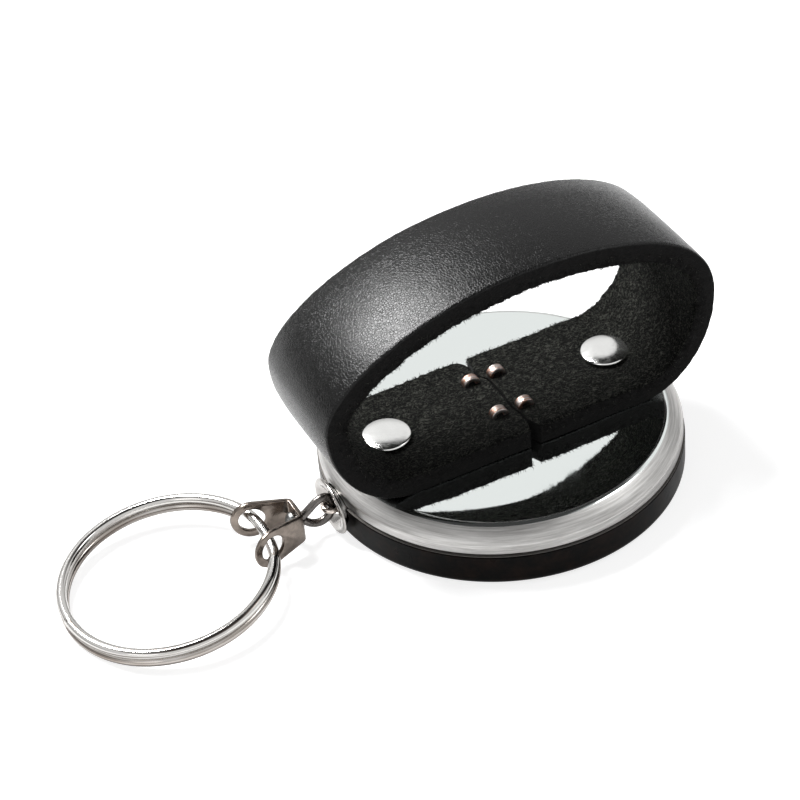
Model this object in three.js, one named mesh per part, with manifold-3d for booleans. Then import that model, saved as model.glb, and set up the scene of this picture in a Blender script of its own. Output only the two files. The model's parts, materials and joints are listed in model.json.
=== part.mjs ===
// Retractable key reel with a leather belt loop. Lengths are in millimetres, +Z is up.
// The case's axis is Z, and the origin is the centre of the cover's outer face, on which the reel lies.
// The chain leaves the case towards -X. A belt passes through the loop along Y.

import * as THREE from 'three';
import { mergeVertices } from 'three/addons/utils/BufferGeometryUtils.js';
import Module from 'manifold-3d';

const wasm = await Module();
wasm.setup();

// Fits that the pieces share
const SEAT_GAP = 0.3; // a piece to what holds it
const RUNNING_GAP = 0.3; // a turning piece to what it turns on
const CUT_OVERRUN = 1; // a cutter past the faces it cuts

// Facets
const CASE_SIDES = 64;
const DRUM_SIDES = 48;
const SMALL_SIDES = 24;
const NOZZLE_SIDES = 32;
const ROUND_STEPS = 4; // a rounded edge in a turned outline

// Case: a black front cover that laps over a polished steel back shell
const CASE_RADIUS = 26;
const COVER_OVERHANG = 0.2; // the cover's side beyond the shell's
const COVER_WALL = 0.8;
const COVER_FLOOR = 0.8;
const COVER_EDGE = 1.2; // rounding round the cover's outer face
const PARTING_GAP = 0.3; // the dark line between cover and shell
const SHELL_WALL = 0.6;
const SHOULDER_WIDTH = 2.6; // the shell's rounded shoulder, across
const SHOULDER_DROP = 2.2; // and down
const BAND_HEIGHT = 1.3; // the shell's upright side, from the parting line up to the shoulder
const SKIRT_DEPTH = 3.2; // the shell's skirt below the cover's rim

const COVER_RADIUS = CASE_RADIUS + COVER_OVERHANG;
const COVER_INNER_RADIUS = COVER_RADIUS - COVER_WALL;
const SKIRT_RADIUS = COVER_INNER_RADIUS - SEAT_GAP;
const SKIRT_INNER_RADIUS = SKIRT_RADIUS - SHELL_WALL;

// Chain: open oval links of round wire, each turned a quarter turn from the last
const LINK_WIRE = 0.8;
const LINK_LENGTH = 4.6;
const LINK_WIDTH = 3.1;
const LINK_SLACK = 0.3; // between the bows of two links in line
const LINK_BOW_STEPS = 8;
const WIRE_SIDES = 8;
const LINK_PITCH = LINK_LENGTH - 2 * LINK_WIRE - LINK_SLACK;

// Spool that winds the chain, on a post between cover and shell
const POST_RADIUS = 2;
const POST_FOOT_RADIUS = 3.4;
const POST_FOOT_HEIGHT = 0.4;
const FLANGE_THICKNESS = 0.6;
const CHAIN_PLAY = 0.7; // how much further apart the spool's flanges are than the chain is wide
const SPOOL_SIDE_GAP = 3.3; // the spool's rim to the shell's skirt, where the chain turns out to the nozzle
const SPOOL_HEADROOM = 1.9; // the spool's upper flange to the shell's face, with the rivets' feet between
const COIL_MARGIN = 0.7; // the spool's rim beyond the chain wound on it
const COIL_DEPTH = 9.3; // how deep the chain lies on the drum
const DRUM_WALL = 1;
const WASHER_RADIUS = 4.2;
const WASHER_THICKNESS = 0.3;

const HUB_BORE_RADIUS = POST_RADIUS + RUNNING_GAP;
const SPOOL_RADIUS = SKIRT_INNER_RADIUS - SPOOL_SIDE_GAP;
const COIL_RADIUS = SPOOL_RADIUS - COIL_MARGIN;
const DRUM_RADIUS = COIL_RADIUS - COIL_DEPTH;
const CHAIN_SPACE = LINK_WIDTH + CHAIN_PLAY;
const SPOOL_FLOOR = COVER_FLOOR + POST_FOOT_HEIGHT + RUNNING_GAP + FLANGE_THICKNESS;
const SPOOL_TOP = SPOOL_FLOOR + CHAIN_SPACE;
const CHAIN_HEIGHT = SPOOL_FLOOR + CHAIN_SPACE / 2; // the chain's line above the cover's outer face
const COVER_DISC_TOP = SPOOL_TOP + FLANGE_THICKNESS;

// Heights of the case, built up from what it holds
const SHELL_CEILING = COVER_DISC_TOP + SPOOL_HEADROOM;
const CASE_HEIGHT = SHELL_CEILING + SHELL_WALL;
const SHELL_RIM = CASE_HEIGHT - SHOULDER_DROP - BAND_HEIGHT;
const PARTING_HEIGHT = SHELL_RIM - PARTING_GAP; // the cover's rim above its outer face

// Flat spiral spring inside the drum
const SPRING_THICKNESS = 0.25;
const SPRING_PLAY = 0.8; // how much lower the strip is than the space between the flanges
const SPRING_TURNS = 7;
const SPRING_STEPS = 16; // in a turn
const SPRING_INNER_GAP = 0.5; // the first turn to the post
const SPRING_OUTER_GAP = 0.5; // the last turn to the drum's wall
const SPRING_SLOT = 0.7; // the slots that hold its two ends

const SPRING_HEIGHT = CHAIN_SPACE - SPRING_PLAY;

// Oval flared nozzle that the chain leaves through; its radii are half its height
const NOZZLE_STRETCH_SHARE = 1.3; // its width as a share of its height
const NOZZLE_STANDOFF = 1.1; // the flared face beyond the cover's side
const NOZZLE_LIP = 0.6;
const NOZZLE_LIP_WIDTH = 0.7; // from the mouth's edge out to the flange's
const NOZZLE_FLARE = 1.25; // how much wider the mouth is than the throat
const NOZZLE_MOUTH_DEPTH = 1.7;
const NOZZLE_THROAT_GAP = 0.2; // round a link
const NOZZLE_WALL = 0.65; // round the throat
const NOZZLE_NECK_TAPER = 0.4; // how much the neck widens under the lip
const NOZZLE_INNER_FLANGE = 0.6; // the inner flange beyond the neck
const NOZZLE_INNER_THICKNESS = 0.4;
const MOUTH_STEPS = 4;

const NOZZLE_FACE = COVER_RADIUS + NOZZLE_STANDOFF;
const THROAT_RADIUS = LINK_WIDTH / 2 + NOZZLE_THROAT_GAP;
const NOZZLE_NECK_RADIUS = THROAT_RADIUS + NOZZLE_WALL;
const NOZZLE_MOUTH_RADIUS = THROAT_RADIUS + NOZZLE_FLARE;
const NOZZLE_FLANGE_RADIUS = NOZZLE_MOUTH_RADIUS + NOZZLE_LIP_WIDTH;

// Swivel: a wire eye whose shank turns in the clevis
const EYE_WIRE = 1.2;
const EYE_RADIUS = 2.7; // outside
const EYE_STANDOFF = 1.6; // the eye's centre beyond the nozzle's face
const SHANK_RADIUS = 0.7;
const HEAD_RADIUS = 1.35;
const HEAD_HEIGHT = 1;
const EYE_STEPS = 28;

const EYE_X = -(NOZZLE_FACE + EYE_STANDOFF);

// Clevis: a strip bent into a U whose arms spread apart and widen to a round end with a hole
const CLEVIS_THICKNESS = 0.7;
const CLEVIS_WIDTH = 6; // of the strip at its round ends
const CLEVIS_BASE_WIDTH = 4.4; // of the strip at its base
const CLEVIS_BASE = 4.8; // across the outside of the base
const CLEVIS_REACH = 5.35; // the base's middle to the holes, along X
const CLEVIS_SPREAD = 14.5; // degrees, each arm
const CLEVIS_HOLE_RADIUS = 1.9;

const BASE_OUTER_X = EYE_X - EYE_RADIUS - RUNNING_GAP;
const BASE_MIDDLE_X = BASE_OUTER_X - CLEVIS_THICKNESS / 2;
const HOLE_X = BASE_MIDDLE_X - CLEVIS_REACH;
const ARM_TANGENT = Math.tan(THREE.MathUtils.degToRad(CLEVIS_SPREAD));
const BASE_HALF = CLEVIS_BASE / 2 - CLEVIS_THICKNESS / 2;
const HOLE_Y = BASE_HALF + CLEVIS_REACH * ARM_TANGENT;

// Split ring: one flattened wire, two turns, with a step where it climbs
const RING_RADIUS = 15.5; // outside
const RING_WIRE_WIDTH = 1.5;
const RING_WIRE_HEIGHT = 1.2;
const RING_TURN_GAP = 0.45;
const RING_STEPS = 44; // in a turn
const RING_STEP_SHARE = 0.1; // the climb, as a share of a turn
const RING_END_SHARE = 0.02; // each wire end stops this share of a turn short of the climb
const RING_CORNER_SHARE = 0.3; // corner of the wire's section, as a share of its width and height

const RING_MEAN_RADIUS = RING_RADIUS - RING_WIRE_WIDTH / 2;
const RING_BACK = Math.sqrt(RING_MEAN_RADIUS ** 2 - HOLE_Y ** 2); // the ring's centre beyond the holes
const RING_PITCH = RING_WIRE_HEIGHT + RING_TURN_GAP;
const RING_HEIGHT = RING_PITCH + RING_WIRE_HEIGHT;

// Leather belt loop, riveted to the shell, its ends butted and stapled together
const STRAP_WIDTH = 19;
const STRAP_THICKNESS = 3.4;
const LOOP_OVERHANG = 4.2; // the loop's widest place beyond the shell's side
const LOOP_HEIGHT = 30.2;
const LOOP_LIFT_INSET = 8.2; // from the shell's side in to where the strap lifts off its face
const LOOP_EQUATOR = 15; // where the loop is widest, above the shell
const LOOP_LEAN = 2.1; // how far the top has sagged towards +X
const LOOP_LOWER_STEPS = 9;
const LOOP_UPPER_STEPS = 32;
const BUTT_GAP = 0.5; // between the strap's two ends
const NOTCH_WIDTH = 1.6; // the V at each edge, where the ends' corners are worn
const NOTCH_DEPTH = 2.2;

const STRAP_TOP = CASE_HEIGHT + STRAP_THICKNESS;
const LOOP_HALF_WIDTH = CASE_RADIUS + LOOP_OVERHANG;
const LOOP_FLAT_HALF = CASE_RADIUS - LOOP_LIFT_INSET; // half of the stretch that lies flat on the shell

// Rivets: a domed cap with a pin, pressed into a tubular post from inside the case
const RIVET_INSET = 8.5; // from the shell's side in to a rivet's middle
const RIVET_CAP_RADIUS = 3.5;
const RIVET_CAP_HEIGHT = 1.1;
const RIVET_CAP_RIM = 0.35;
const RIVET_PIN_RADIUS = 0.9;
const RIVET_PIN_GAP = 0.25;
const RIVET_TUBE_WALL = 0.35;
const RIVET_FOOT_RADIUS = 2.8;
const RIVET_FOOT_THICKNESS = 0.5;
const RIVET_END_GAP = 0.5; // the tube's end below the cap, and the pin's end above the foot

const RIVET_TUBE_RADIUS = RIVET_PIN_RADIUS + RIVET_PIN_GAP + RIVET_TUBE_WALL;
const RIVET_X = CASE_RADIUS - RIVET_INSET;

// Staples that bridge the butted ends: a crown under the strap, legs curled over on top
const STAPLE_SPACING = 8.2;
const STAPLE_WIRE_WIDTH = 1.3;
const STAPLE_WIRE_THICKNESS = 0.5;
const STAPLE_CROWN = 6.2; // between the middles of its legs
const STAPLE_CURL = 2.4; // from a leg to its tip
const STAPLE_CURL_RISE = 0.8;
const STAPLE_CURL_STEPS = 8;
const STAPLE_PLAY = 0.3; // the leather's slot round the wire

// Finishes
const finishes = {
  blackCover: { color: 0x141414, roughness: 0.35, metalness: 0 },
  polishedSteel: { color: 0xc9cacb, roughness: 0.12, metalness: 1 },
  plainSteel: { color: 0x9a9c9e, roughness: 0.35, metalness: 1 },
  springSteel: { color: 0x4c5158, roughness: 0.3, metalness: 1 },
  drumPlastic: { color: 0xd9d7cf, roughness: 0.5, metalness: 0 },
  chainNickel: { color: 0xc4beb4, roughness: 0.2, metalness: 1 },
  darkNickel: { color: 0x6b6762, roughness: 0.3, metalness: 1 },
  clevisNickel: { color: 0x9c9188, roughness: 0.22, metalness: 1 },
  ringNickel: { color: 0xd2d3d4, roughness: 0.12, metalness: 1 },
  leather: { color: 0x171716, roughness: 0.55, metalness: 0 },
  rivetNickel: { color: 0xe0e0de, roughness: 0.15, metalness: 1 },
  stapleCopper: { color: 0xb5917c, roughness: 0.3, metalness: 1 },
};

// Closed solid from a closed geometry, its shared corners merged
function solidOf(geometry) {
  const bare = new THREE.BufferGeometry();
  bare.setAttribute('position', geometry.getAttribute('position'));
  if (geometry.index) bare.setIndex(geometry.index);
  const merged = mergeVertices(bare, 1e-4);
  const corners = merged.index.array;
  const kept = [];
  for (let i = 0; i < corners.length; i += 3) {
    const [a, b, c] = [corners[i], corners[i + 1], corners[i + 2]];
    if (a !== b && b !== c && c !== a) kept.push(a, b, c);
  }
  const mesh = new wasm.Mesh({
    numProp: 3,
    vertProperties: new Float32Array(merged.getAttribute('position').array),
    triVerts: new Uint32Array(kept),
  });
  return new wasm.Manifold(mesh);
}

function geometryOf(solid) {
  const mesh = solid.getMesh();
  const geometry = new THREE.BufferGeometry();
  geometry.setAttribute('position', new THREE.BufferAttribute(mesh.vertProperties, 3));
  geometry.setIndex(new THREE.BufferAttribute(mesh.triVerts, 1));
  return geometry;
}

// Solid turned about Z from [radius, height] points, listed with the material on their left
function turned(profile, sides) {
  const points = profile.map(([r, z]) => new THREE.Vector2(r, z));
  const geometry = new THREE.LatheGeometry(points, sides);
  geometry.rotateX(Math.PI / 2);
  return solidOf(geometry);
}

// Solid turned about X: the profile's height runs towards -X
function turnedAlongX(profile, sides) {
  const quarter = new THREE.Matrix4().makeRotationY(-Math.PI / 2);
  return moved(turned(profile, sides), quarter);
}

function moved(solid, matrix) {
  const geometry = geometryOf(solid);
  geometry.applyMatrix4(matrix);
  return solidOf(geometry);
}

function shifted(solid, x, y, z) {
  return moved(solid, new THREE.Matrix4().makeTranslation(x, y, z));
}

// Quarter of an ellipse as [radius, height] points, from one angle in degrees to another
function arcPoints(centreR, centreZ, reachR, reachZ, from, to, steps) {
  const points = [];
  for (let i = 0; i <= steps; i++) {
    const angle = THREE.MathUtils.degToRad(from + ((to - from) * i) / steps);
    points.push([centreR + reachR * Math.cos(angle), centreZ + reachZ * Math.sin(angle)]);
  }
  return points;
}

function box(lengthX, lengthY, lengthZ, x, y, z) {
  const geometry = new THREE.BoxGeometry(lengthX, lengthY, lengthZ);
  geometry.translate(x, y, z);
  return solidOf(geometry);
}

function uprightCylinder(radius, low, high, x, y) {
  const geometry = new THREE.CylinderGeometry(radius, radius, high - low, SMALL_SIDES);
  geometry.rotateX(Math.PI / 2);
  geometry.translate(x, y, (low + high) / 2);
  return solidOf(geometry);
}

// Outline of a strip: a path offset to its left by one distance and to its right by another
function stripShape(path, left, right) {
  const leftSide = [];
  const rightSide = [];
  path.forEach((point, i) => {
    const before = path[Math.max(i - 1, 0)];
    const after = path[Math.min(i + 1, path.length - 1)];
    const into = point.clone().sub(before);
    const out = after.clone().sub(point);
    if (i === 0) into.copy(out);
    if (i === path.length - 1) out.copy(into);
    into.normalize();
    out.normalize();
    const along = into.clone().add(out).normalize();
    const mitre = 1 / Math.max(along.dot(out), 0.5);
    const side = new THREE.Vector2(-along.y, along.x).multiplyScalar(mitre);
    leftSide.push(point.clone().addScaledVector(side, left));
    rightSide.push(point.clone().addScaledVector(side, -right));
  });
  return new THREE.Shape([...leftSide, ...rightSide.reverse()]);
}

// Strip bent in the XY plane, its width along Z
function flatStrip(shape, width) {
  const geometry = new THREE.ExtrudeGeometry(shape, { depth: width, bevelEnabled: false });
  geometry.translate(0, 0, -width / 2);
  return solidOf(geometry);
}

// Strip bent in the XZ plane, its width along Y
function uprightStrip(shape, width) {
  const geometry = new THREE.ExtrudeGeometry(shape, { depth: width, bevelEnabled: false });
  geometry.translate(0, 0, -width / 2);
  geometry.rotateX(Math.PI / 2);
  return solidOf(geometry);
}

// Tube through rings of points, closed on itself or with flat ends
function ringedSolid(rings, closed) {
  const sides = rings[0].length;
  const positions = rings.flat().flatMap((p) => [p.x, p.y, p.z]);
  const triangles = [];
  const spans = closed ? rings.length : rings.length - 1;
  for (let i = 0; i < spans; i++) {
    const here = i * sides;
    const next = ((i + 1) % rings.length) * sides;
    for (let j = 0; j < sides; j++) {
      const k = (j + 1) % sides;
      triangles.push(here + j, next + j, next + k, here + j, next + k, here + k);
    }
  }
  if (!closed) {
    const last = (rings.length - 1) * sides;
    for (let j = 1; j < sides - 1; j++) {
      triangles.push(0, j, j + 1, last, last + j + 1, last + j);
    }
  }
  const geometry = new THREE.BufferGeometry();
  geometry.setAttribute('position', new THREE.Float32BufferAttribute(positions, 3));
  geometry.setIndex(triangles);
  return solidOf(geometry);
}

// Front cover: a shallow pan, with an opening in its side for the nozzle
function frontCover() {
  const profile = [
    [0, 0],
    ...arcPoints(COVER_RADIUS - COVER_EDGE, COVER_EDGE, COVER_EDGE, COVER_EDGE, -90, 0, ROUND_STEPS),
    [COVER_RADIUS, PARTING_HEIGHT],
    [COVER_INNER_RADIUS, PARTING_HEIGHT],
    [COVER_INNER_RADIUS, COVER_FLOOR],
    [0, COVER_FLOOR],
  ];
  return turned(profile, CASE_SIDES).subtract(nozzleOpening());
}

// Back shell: polished face, rounded shoulder, side band, and a skirt that the cover laps over
function backShell() {
  const shoulderZ = CASE_HEIGHT - SHOULDER_DROP;
  const innerBand = CASE_RADIUS - SHELL_WALL;
  const skirtBottom = PARTING_HEIGHT - SKIRT_DEPTH;
    const innerShoulder = SHOULDER_WIDTH - SHELL_WALL;
  const innerDrop = SHOULDER_DROP - SHELL_WALL;
  const step = SHELL_RIM + SHELL_WALL;
  const profile = [
    [0, SHELL_CEILING],
    ...arcPoints(innerBand - innerShoulder, shoulderZ, innerShoulder, innerDrop, 90, 0, ROUND_STEPS),
    [innerBand, step],
    [SKIRT_INNER_RADIUS, step],
    [SKIRT_INNER_RADIUS, skirtBottom],
    [SKIRT_RADIUS, skirtBottom],
    [SKIRT_RADIUS, SHELL_RIM],
    [CASE_RADIUS, SHELL_RIM],
    ...arcPoints(CASE_RADIUS - SHOULDER_WIDTH, shoulderZ, SHOULDER_WIDTH, SHOULDER_DROP, 0, 90, ROUND_STEPS + 2),
    [0, CASE_HEIGHT],
  ];
  let shell = turned(profile, CASE_SIDES).subtract(nozzleOpening());
  for (const side of [-1, 1]) {
    shell = shell.subtract(rivetHole(side));
  }
  return shell;
}

// Oval opening through both walls round the nozzle's neck
function nozzleOpening() {
  const reach = NOZZLE_FACE + CUT_OVERRUN;
  const depth = reach - SKIRT_INNER_RADIUS + CUT_OVERRUN;
  const radius = NOZZLE_NECK_RADIUS + SEAT_GAP;
  const geometry = new THREE.CylinderGeometry(radius, radius, depth, DRUM_SIDES);
  geometry.rotateZ(Math.PI / 2);
  geometry.scale(1, NOZZLE_STRETCH_SHARE, 1);
  geometry.translate(depth / 2 - reach, 0, CHAIN_HEIGHT);
  return solidOf(geometry);
}

function rivetHole(side) {
  const radius = RIVET_TUBE_RADIUS + SEAT_GAP;
  const top = STRAP_TOP + CUT_OVERRUN;
  return uprightCylinder(radius, SHELL_CEILING - CUT_OVERRUN, top, side * RIVET_X, 0);
}

// Post with a foot on the cover and a slot for the spring's inner end
function centrePost() {
  const footTop = COVER_FLOOR + POST_FOOT_HEIGHT;
  const profile = [
    [0, COVER_FLOOR],
    [POST_FOOT_RADIUS, COVER_FLOOR],
    [POST_FOOT_RADIUS, footTop],
    [POST_RADIUS, footTop],
    [POST_RADIUS, SHELL_CEILING],
    [0, SHELL_CEILING],
  ];
  const slotHeight = SHELL_CEILING - SPOOL_FLOOR + CUT_OVERRUN;
  const slotLength = 2 * (POST_RADIUS + CUT_OVERRUN);
  const slot = box(slotLength, SPRING_SLOT, slotHeight, 0, 0, SPOOL_FLOOR + slotHeight / 2);
  return turned(profile, DRUM_SIDES).subtract(slot);
}

// Flat ring about Z
function discRing(innerRadius, outerRadius, low, high) {
  const profile = [
    [innerRadius, low],
    [outerRadius, low],
    [outerRadius, high],
    [innerRadius, high],
    [innerRadius, low],
  ];
  return turned(profile, DRUM_SIDES);
}

// Drum in one piece with the lower flange, slotted for the spring's outer end
function spoolDrum() {
  const inner = DRUM_RADIUS - DRUM_WALL;
  const low = SPOOL_FLOOR - FLANGE_THICKNESS;
  const profile = [
    [HUB_BORE_RADIUS, low],
    [SPOOL_RADIUS, low],
    [SPOOL_RADIUS, SPOOL_FLOOR],
    [DRUM_RADIUS, SPOOL_FLOOR],
    [DRUM_RADIUS, SPOOL_TOP],
    [inner, SPOOL_TOP],
    [inner, SPOOL_FLOOR],
    [HUB_BORE_RADIUS, SPOOL_FLOOR],
    [HUB_BORE_RADIUS, low],
  ];
  const slotLength = DRUM_WALL + 2 * CUT_OVERRUN;
  const slotX = DRUM_RADIUS - DRUM_WALL / 2;
  const slotLow = CHAIN_HEIGHT - SPRING_HEIGHT / 2 - SEAT_GAP;
  const slotHeight = SPOOL_TOP - slotLow + CUT_OVERRUN;
  const slot = box(slotLength, SPRING_SLOT, slotHeight, slotX, 0, slotLow + slotHeight / 2);
  return turned(profile, DRUM_SIDES).subtract(slot);
}

// Spiral strip from the post's slot out to the drum's slot
function powerSpring() {
  const first = POST_RADIUS + SPRING_INNER_GAP;
  const last = DRUM_RADIUS - DRUM_WALL - SPRING_OUTER_GAP;
  const path = [new THREE.Vector2(-POST_RADIUS / 2, 0)];
  const count = SPRING_TURNS * SPRING_STEPS;
  for (let i = 0; i <= count; i++) {
    const angle = (2 * Math.PI * i) / SPRING_STEPS;
    const radius = first + ((last - first) * i) / count;
    path.push(new THREE.Vector2(radius * Math.cos(angle), radius * Math.sin(angle)));
  }
  path.push(new THREE.Vector2(DRUM_RADIUS - SEAT_GAP, 0));
  const half = SPRING_THICKNESS / 2;
  return shifted(flatStrip(stripShape(path, half, half), SPRING_HEIGHT), 0, 0, CHAIN_HEIGHT);
}

// Oval link of round wire in the XY plane, or in the XZ plane when it stands
function chainLink(centreX, standing) {
  const bowRadius = (LINK_WIDTH - LINK_WIRE) / 2;
  const half = LINK_LENGTH / 2 - LINK_WIDTH / 2;
  const rings = [];
  for (const end of [1, -1]) {
    for (let i = 0; i <= LINK_BOW_STEPS; i++) {
      const angle = (Math.PI * i) / LINK_BOW_STEPS - (end * Math.PI) / 2;
      const out = new THREE.Vector3(Math.cos(angle), Math.sin(angle), 0);
      const middle = out.clone().multiplyScalar(bowRadius);
      middle.x += end * half;
      rings.push(wireRing(middle, out, LINK_WIRE / 2));
    }
  }
  const link = ringedSolid(rings, true);
  const turn = new THREE.Matrix4().makeRotationX(standing ? Math.PI / 2 : 0);
  return shifted(moved(link, turn), centreX, 0, CHAIN_HEIGHT);
}

// Points round a wire whose bend lies in the XY plane
function wireRing(middle, out, radius) {
  const points = [];
  for (let j = 0; j < WIRE_SIDES; j++) {
    const turn = (2 * Math.PI * (j + 0.5)) / WIRE_SIDES;
    const point = middle.clone().addScaledVector(out, radius * Math.cos(turn));
    point.z += radius * Math.sin(turn);
    points.push(point);
  }
  return points;
}

// Nozzle, turned about its own axis and stretched sideways into an oval
function exitNozzle() {
  const depthToSkirt = NOZZLE_FACE - SKIRT_INNER_RADIUS;
  const innerFace = depthToSkirt + 2 * SEAT_GAP;
  const end = innerFace + NOZZLE_INNER_THICKNESS;
  const flareFrom = NOZZLE_MOUTH_RADIUS;
  const mouth = [];
  for (let i = 0; i <= MOUTH_STEPS; i++) {
    const share = i / MOUTH_STEPS;
    const radius = THROAT_RADIUS + (flareFrom - THROAT_RADIUS) * (1 - share) ** 2;
    mouth.push([radius, -NOZZLE_MOUTH_DEPTH * share]);
  }
  const rim = NOZZLE_LIP / 2;
  const profile = [
    ...mouth,
    [THROAT_RADIUS, -end],
    [NOZZLE_NECK_RADIUS + NOZZLE_INNER_FLANGE, -end],
    [NOZZLE_NECK_RADIUS + NOZZLE_INNER_FLANGE, -innerFace],
    [NOZZLE_NECK_RADIUS, -innerFace],
    [NOZZLE_NECK_RADIUS, -(NOZZLE_LIP + rim)],
    [NOZZLE_NECK_RADIUS + NOZZLE_NECK_TAPER, -NOZZLE_LIP],
    ...arcPoints(NOZZLE_FLANGE_RADIUS - rim, -rim, rim, rim, -90, 90, ROUND_STEPS),
    mouth[0],
  ];
  const nozzle = turnedAlongX(profile, NOZZLE_SIDES);
  const stretch = new THREE.Matrix4().makeScale(1, NOZZLE_STRETCH_SHARE, 1);
  return shifted(moved(nozzle, stretch), -NOZZLE_FACE, 0, CHAIN_HEIGHT);
}

// Wire eye, its shank and the head that holds the clevis on
function swivelEye() {
  const wire = EYE_WIRE / 2;
  const torus = new THREE.TorusGeometry(EYE_RADIUS - wire, wire, WIRE_SIDES, EYE_STEPS);
  torus.rotateX(Math.PI / 2);
  const shankStart = EYE_RADIUS - wire;
  const headFace = EYE_RADIUS + CLEVIS_THICKNESS + 2 * RUNNING_GAP;
  const shank = [
    [0, shankStart],
    [SHANK_RADIUS, shankStart],
    [SHANK_RADIUS, headFace],
    [HEAD_RADIUS, headFace],
    ...arcPoints(0, headFace + HEAD_HEIGHT / 2, HEAD_RADIUS, HEAD_HEIGHT / 2, 0, 90, ROUND_STEPS),
  ];
  const eye = solidOf(torus).add(turnedAlongX(shank, SMALL_SIDES));
  return shifted(eye, EYE_X, 0, CHAIN_HEIGHT);
}

// Clevis: strip bent in plan, then its ends rounded and its holes cut
function swivelClevis() {
  const armEnd = CLEVIS_REACH + CLEVIS_WIDTH / 2;
  const spread = THREE.MathUtils.degToRad(CLEVIS_SPREAD);
  const tip = new THREE.Vector2(BASE_MIDDLE_X - armEnd, BASE_HALF + armEnd * ARM_TANGENT);
  const corner = new THREE.Vector2(BASE_MIDDLE_X, BASE_HALF);
  const path = [
    tip,
    corner,
    new THREE.Vector2(corner.x, -corner.y),
    new THREE.Vector2(tip.x, -tip.y),
  ];
  const half = CLEVIS_THICKNESS / 2;
  let clevis = flatStrip(stripShape(path, half, half), CLEVIS_WIDTH);
  for (const side of [-1, 1]) {
    clevis = clevis.subtract(taperCutter(side));
    const place = new THREE.Matrix4().makeTranslation(HOLE_X, side * HOLE_Y, 0);
    place.multiply(new THREE.Matrix4().makeRotationZ(-side * spread));
    clevis = clevis.subtract(moved(armEndCutter(), place));
    clevis = clevis.subtract(moved(armHoleCutter(), place));
  }
  const bore = new THREE.CylinderGeometry(
    SHANK_RADIUS + RUNNING_GAP,
    SHANK_RADIUS + RUNNING_GAP,
    CLEVIS_THICKNESS + 2 * CUT_OVERRUN,
    SMALL_SIDES,
  );
  bore.rotateZ(Math.PI / 2);
  bore.translate(BASE_MIDDLE_X, 0, 0);
  return shifted(clevis.subtract(solidOf(bore)), 0, 0, CHAIN_HEIGHT);
}

// What lies above the tapered arms and base, or below them where side is -1
function taperCutter(side) {
  const round = CLEVIS_WIDTH / 2;
  const base = CLEVIS_BASE_WIDTH / 2;
  const right = BASE_OUTER_X + CUT_OVERRUN;
  const far = round + CUT_OVERRUN;
  const outline = [
    [HOLE_X, round],
    [BASE_MIDDLE_X, base],
    [right, base],
    [right, far],
    [HOLE_X, far],
  ];
  const shape = new THREE.Shape(outline.map(([x, z]) => new THREE.Vector2(x, z)));
  const depth = 2 * (HOLE_Y + CLEVIS_WIDTH);
  const geometry = new THREE.ExtrudeGeometry(shape, { depth, bevelEnabled: false });
  geometry.translate(0, 0, -depth / 2);
  geometry.rotateX((side * Math.PI) / 2);
  return solidOf(geometry);
}

// What lies outside the round end of an arm; the arm points to -X from the origin
function armEndCutter() {
  const reach = CLEVIS_WIDTH / 2;
  const far = reach + 2 * CUT_OVERRUN;
  const shape = new THREE.Shape();
  shape.moveTo(0, far);
  shape.lineTo(-far, far);
  shape.lineTo(-far, -far);
  shape.lineTo(0, -far);
  shape.lineTo(0, -reach);
  shape.absarc(0, 0, reach, -Math.PI / 2, Math.PI / 2, true);
  shape.closePath();
  const depth = CLEVIS_THICKNESS + 2 * CUT_OVERRUN;
  const geometry = new THREE.ExtrudeGeometry(shape, { depth, bevelEnabled: false });
  geometry.translate(0, 0, -depth / 2);
  geometry.rotateX(Math.PI / 2);
  return solidOf(geometry);
}

function armHoleCutter() {
  const depth = CLEVIS_THICKNESS + 2 * CUT_OVERRUN;
  const radius = CLEVIS_HOLE_RADIUS;
  return solidOf(new THREE.CylinderGeometry(radius, radius, depth, SMALL_SIDES));
}

// Height of the split ring's wire along its two turns
function ringWireHeight(turns) {
  const climb = (turns - (1 - RING_STEP_SHARE)) / RING_STEP_SHARE;
  const share = THREE.MathUtils.smoothstep(climb, 0, 1);
  return RING_PITCH / 2 - RING_PITCH * share;
}

// Split ring about Z at the origin: one unbroken wire of flattened section. It crosses from its
// upper turn to its lower one on the +X side, inside the clevis, and both its ends lie just outside.
function splitRing() {
  const section = ringSection();
  const rings = [];
  const turns = 2 - RING_STEP_SHARE - 2 * RING_END_SHARE;
  const count = Math.round(turns * RING_STEPS);
  const middle = 1 - RING_STEP_SHARE / 2;
  for (let i = count; i >= 0; i--) {
    const share = (turns * i) / count;
    const angle = 2 * Math.PI * (middle - share - RING_END_SHARE);
    const height = ringWireHeight(share + RING_END_SHARE);
    rings.push(
      section.map(
        ([r, z]) => new THREE.Vector3(
          (RING_MEAN_RADIUS + r) * Math.cos(angle),
          (RING_MEAN_RADIUS + r) * Math.sin(angle),
          height + z,
        ),
      ),
    );
  }
  return ringedSolid(rings, false);
}

// Rectangle with cut corners, the section of the ring's wire
function ringSection() {
  const [w, h] = [RING_WIRE_WIDTH / 2, RING_WIRE_HEIGHT / 2];
  const [u, v] = [w * (1 - RING_CORNER_SHARE), h * (1 - RING_CORNER_SHARE)];
  return [[w, -v], [w, v], [u, h], [-u, h], [-w, v], [-w, -v], [-u, -h], [u, -h]];
}

// Least gap between the ring's two turns, over the stretch where they lie one on the other
function ringLeastGap() {
  let least = Infinity;
  for (let i = 0; i <= RING_STEPS; i++) {
    const upper = ringWireHeight(RING_END_SHARE + (i / RING_STEPS) * (1 - 2 * RING_STEP_SHARE));
    const lower = ringWireHeight(1 + RING_END_SHARE + (i / RING_STEPS) * (1 - 2 * RING_STEP_SHARE));
    least = Math.min(least, upper - lower - RING_WIRE_HEIGHT);
  }
  return least;
}

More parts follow.
